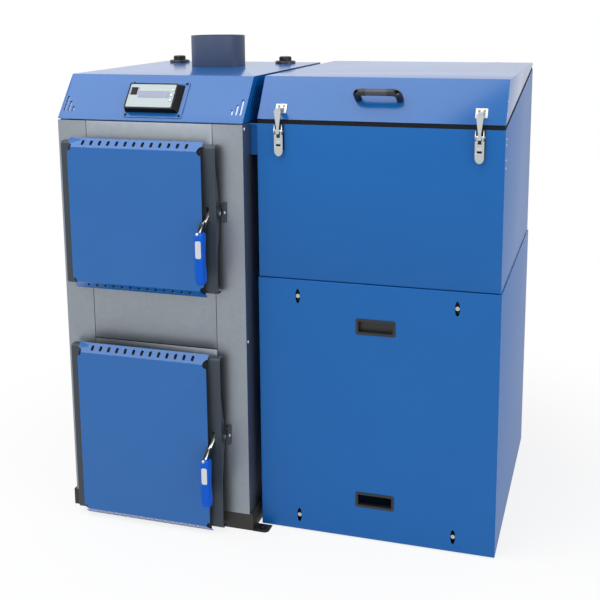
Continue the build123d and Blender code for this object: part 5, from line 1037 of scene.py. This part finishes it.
ring_of_ribs = rib_tree()
cap_places = [(-0.5575, 0.312), (-0.1635, 0.312)]
cap_bottom = 1.350
cap_rib_z = cap_bottom + 15.5 * millimetre
cap_profile = [
    (0, 8.6),
    (24.5, 8.6),
    (24.5, 0),
    (35, 0),
    (35, 6.0),
    (34, 7.8),
    (31.5, 9.0),
    (22.5, 9.4),
    (20.5, 10.2),
    (20.2, 21.5),
    (18.8, 23.4),
    (16.0, 24.0),
    (12.0, 23.2),
    (0, 23.0),
]
for name, (x, y) in zip(("left", "right"), cap_places):
    cap_place = Matrix.Translation((x, y, cap_bottom)) @ Matrix.Scale(millimetre, 4)
    cap_mesh = turned("cap", cap_profile, 48, cap_place)
    solid("socket_cap_" + name, cap_mesh, black_nylon, "cabinets", "socket_caps")
cap_ribs = run_tree(
    "socket_cap_ribs",
    [(x, y, cap_rib_z) for x, y in cap_places],
    ring_of_ribs,
    {
        "Count": 28,
        "Ring Radius": 20.4 * millimetre,
        "Rib Size": (1.4 * millimetre, 1.5 * millimetre, 10.5 * millimetre),
        "Finish": black_nylon,
    },
    "cabinets",
)
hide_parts("socket_caps")

# Lid gasket: a strip of black cellular rubber under the lid's flange. Its near-black tone is partly painted
# shade of the gap under the lid. It has no gloss, and its cells are 1.5 mm wide.
gasket_rubber_and_shade = moulded_plastic("black cellular rubber and painted shade", "07070C", 0.95, 1.5, 0.3)
dressed("lid_gasket", gasket_rubber_and_shade, 0)


# Inner parts, the flue and the sockets: vessel, sockets and flue under heat-proof paint, grate and nozzle of
# cast iron, fireproof slabs with glass rope round them, ash pan, feed parts and fan of plain steel, and
# enamelled motors.
def rough_casting(name, colour_low, colour_high, metallic, roughness, pit_size, pit_depth):
    """Cast or pressed body: pits and grains of a given size in millimetres over two close tones."""
    material, tree, place = new_material(name)
    pits = add_node(tree, "ShaderNodeTexVoronoi", {"Scale": 1 / (pit_size * millimetre)}, {"Vector": place})
    size = {"Scale": 1 / (18 * millimetre), "Detail": 6.0}
    cloud = add_node(tree, "ShaderNodeTexNoise", size, {"Vector": place})
    colour = add_node(tree, "ShaderNodeMix", between(colour_low, colour_high), {0: cloud.outputs["Fac"]})
    height = {"Strength": 0.5, "Distance": pit_depth * millimetre}
    bump = add_node(tree, "ShaderNodeBump", height, {"Height": pits.outputs["Distance"]})
    body = add_node(
        tree,
        "ShaderNodeBsdfPrincipled",
        {"Metallic": metallic, "Roughness": roughness},
        {"Base Color": colour.outputs[2], "Normal": bump.outputs[0]},
    )
    add_node(tree, "ShaderNodeOutputMaterial", {}, {"Surface": body.outputs[0]})
    return material


# Heat-proof silicone paint on welded steel: matt, uneven, with dull streaks about 40 mm long.
streaks = (40, 5.0)
silicone_grain = (1.0, 2.0, 0.3, 0.1)
silicone_gloss = {"Roughness": 0.5, "IOR": 1.5}
flue_tones = ("37455F", "42516C")
flue_paint = finish("grey-blue heat-proof paint", flue_tones, streaks, silicone_grain, silicone_gloss, 0.3)
dressed("flue_spigot", flue_paint, stamped_edge)
vessel_tones = ("3A3D40", "4B4E52")
vessel_paint = finish("grey heat-proof paint", vessel_tones, streaks, silicone_grain, silicone_gloss, 0.3)
dressed("boiler_vessel", vessel_paint, 0)
dressed("pipe_sockets", vessel_paint, 0)
mill_steel = rough_casting("plain mill steel", "63666A", "7A7D80", 1.0, 0.45, 2.5, 0.05)
for name in ("ash_pan", "auger_tube", "auger_screw", "burner_box", "burner_fan"):
    dressed(name, mill_steel, 0)
cast_iron = rough_casting("grey cast iron", "2C2B2A", "3E3C3A", 0.6, 0.6, 2.0, 0.3)
for name in ("grate", "burner_nozzle"):
    dressed(name, cast_iron, plate_edge)
fire_slab = rough_casting("vermiculite board", "B09A78", "C8B492", 0.0, 0.9, 4.0, 0.5)
for name in ("upper_door_refractory", "lower_door_refractory"):
    dressed(name, fire_slab, plate_edge)


def glass_rope():
    """Braided glass rope: off-white, dull, strands crossing about every 4 mm."""
    material, tree, place = new_material("braided glass rope")
    waves = []
    for lean in (45, -45):
        turn = {"Rotation": (0, math.radians(lean), 0)}
        mapping = add_node(tree, "ShaderNodeMapping", turn, {"Vector": place})
        spacing = {"bands_direction": "Z", "Scale": 0.314 / (4 * millimetre)}
        wave = add_node(tree, "ShaderNodeTexWave", spacing, {"Vector": mapping.outputs[0]})
        waves.append(wave.outputs["Fac"])
    strands = add_node(tree, "ShaderNodeMath", {"operation": "MAXIMUM"}, {0: waves[0], 1: waves[1]})
    colour = add_node(tree, "ShaderNodeMix", between("9B978D", "DAD6CB"), {0: strands.outputs[0]})
    height = {"Strength": 0.8, "Distance": 0.8 * millimetre}
    bump = add_node(tree, "ShaderNodeBump", height, {"Height": strands.outputs[0]})
    rope = add_node(
        tree,
        "ShaderNodeBsdfPrincipled",
        {"Roughness": 0.9, "Sheen Weight": 0.2},
        {"Base Color": colour.outputs[2], "Normal": bump.outputs[0]},
    )
    add_node(tree, "ShaderNodeOutputMaterial", {}, {"Surface": rope.outputs[0]})
    return material


rope_braid = glass_rope()
for name in ("upper_door_seal", "lower_door_seal"):
    dressed(name, rope_braid, 0)
enamel_tones = ("17191C", "24272B")
motor_enamel = finish("black motor enamel", enamel_tones, streaks, silicone_grain, silicone_gloss, 0.3)
for name in ("auger_motor", "fan_motor"):
    dressed(name, motor_enamel, plate_edge)
fan_motor_place = (0.0125, -0.226, 0.214)
run_tree(
    "fan_motor_ribs",
    [fan_motor_place],
    ring_of_ribs,
    {
        "Count": 24,
        "Ring Radius": 28.6 * millimetre,
        "Rib Size": (2.6 * millimetre, 1.6 * millimetre, 30 * millimetre),
        "Turn": toward_front,
        "Finish": motor_enamel,
    },
    "cabinets",
)

# The two head shapes were only patterns for the screws and rivets, so they are removed.
for head in (rivet_head, screw_head):
    bpy.data.objects.remove(head)
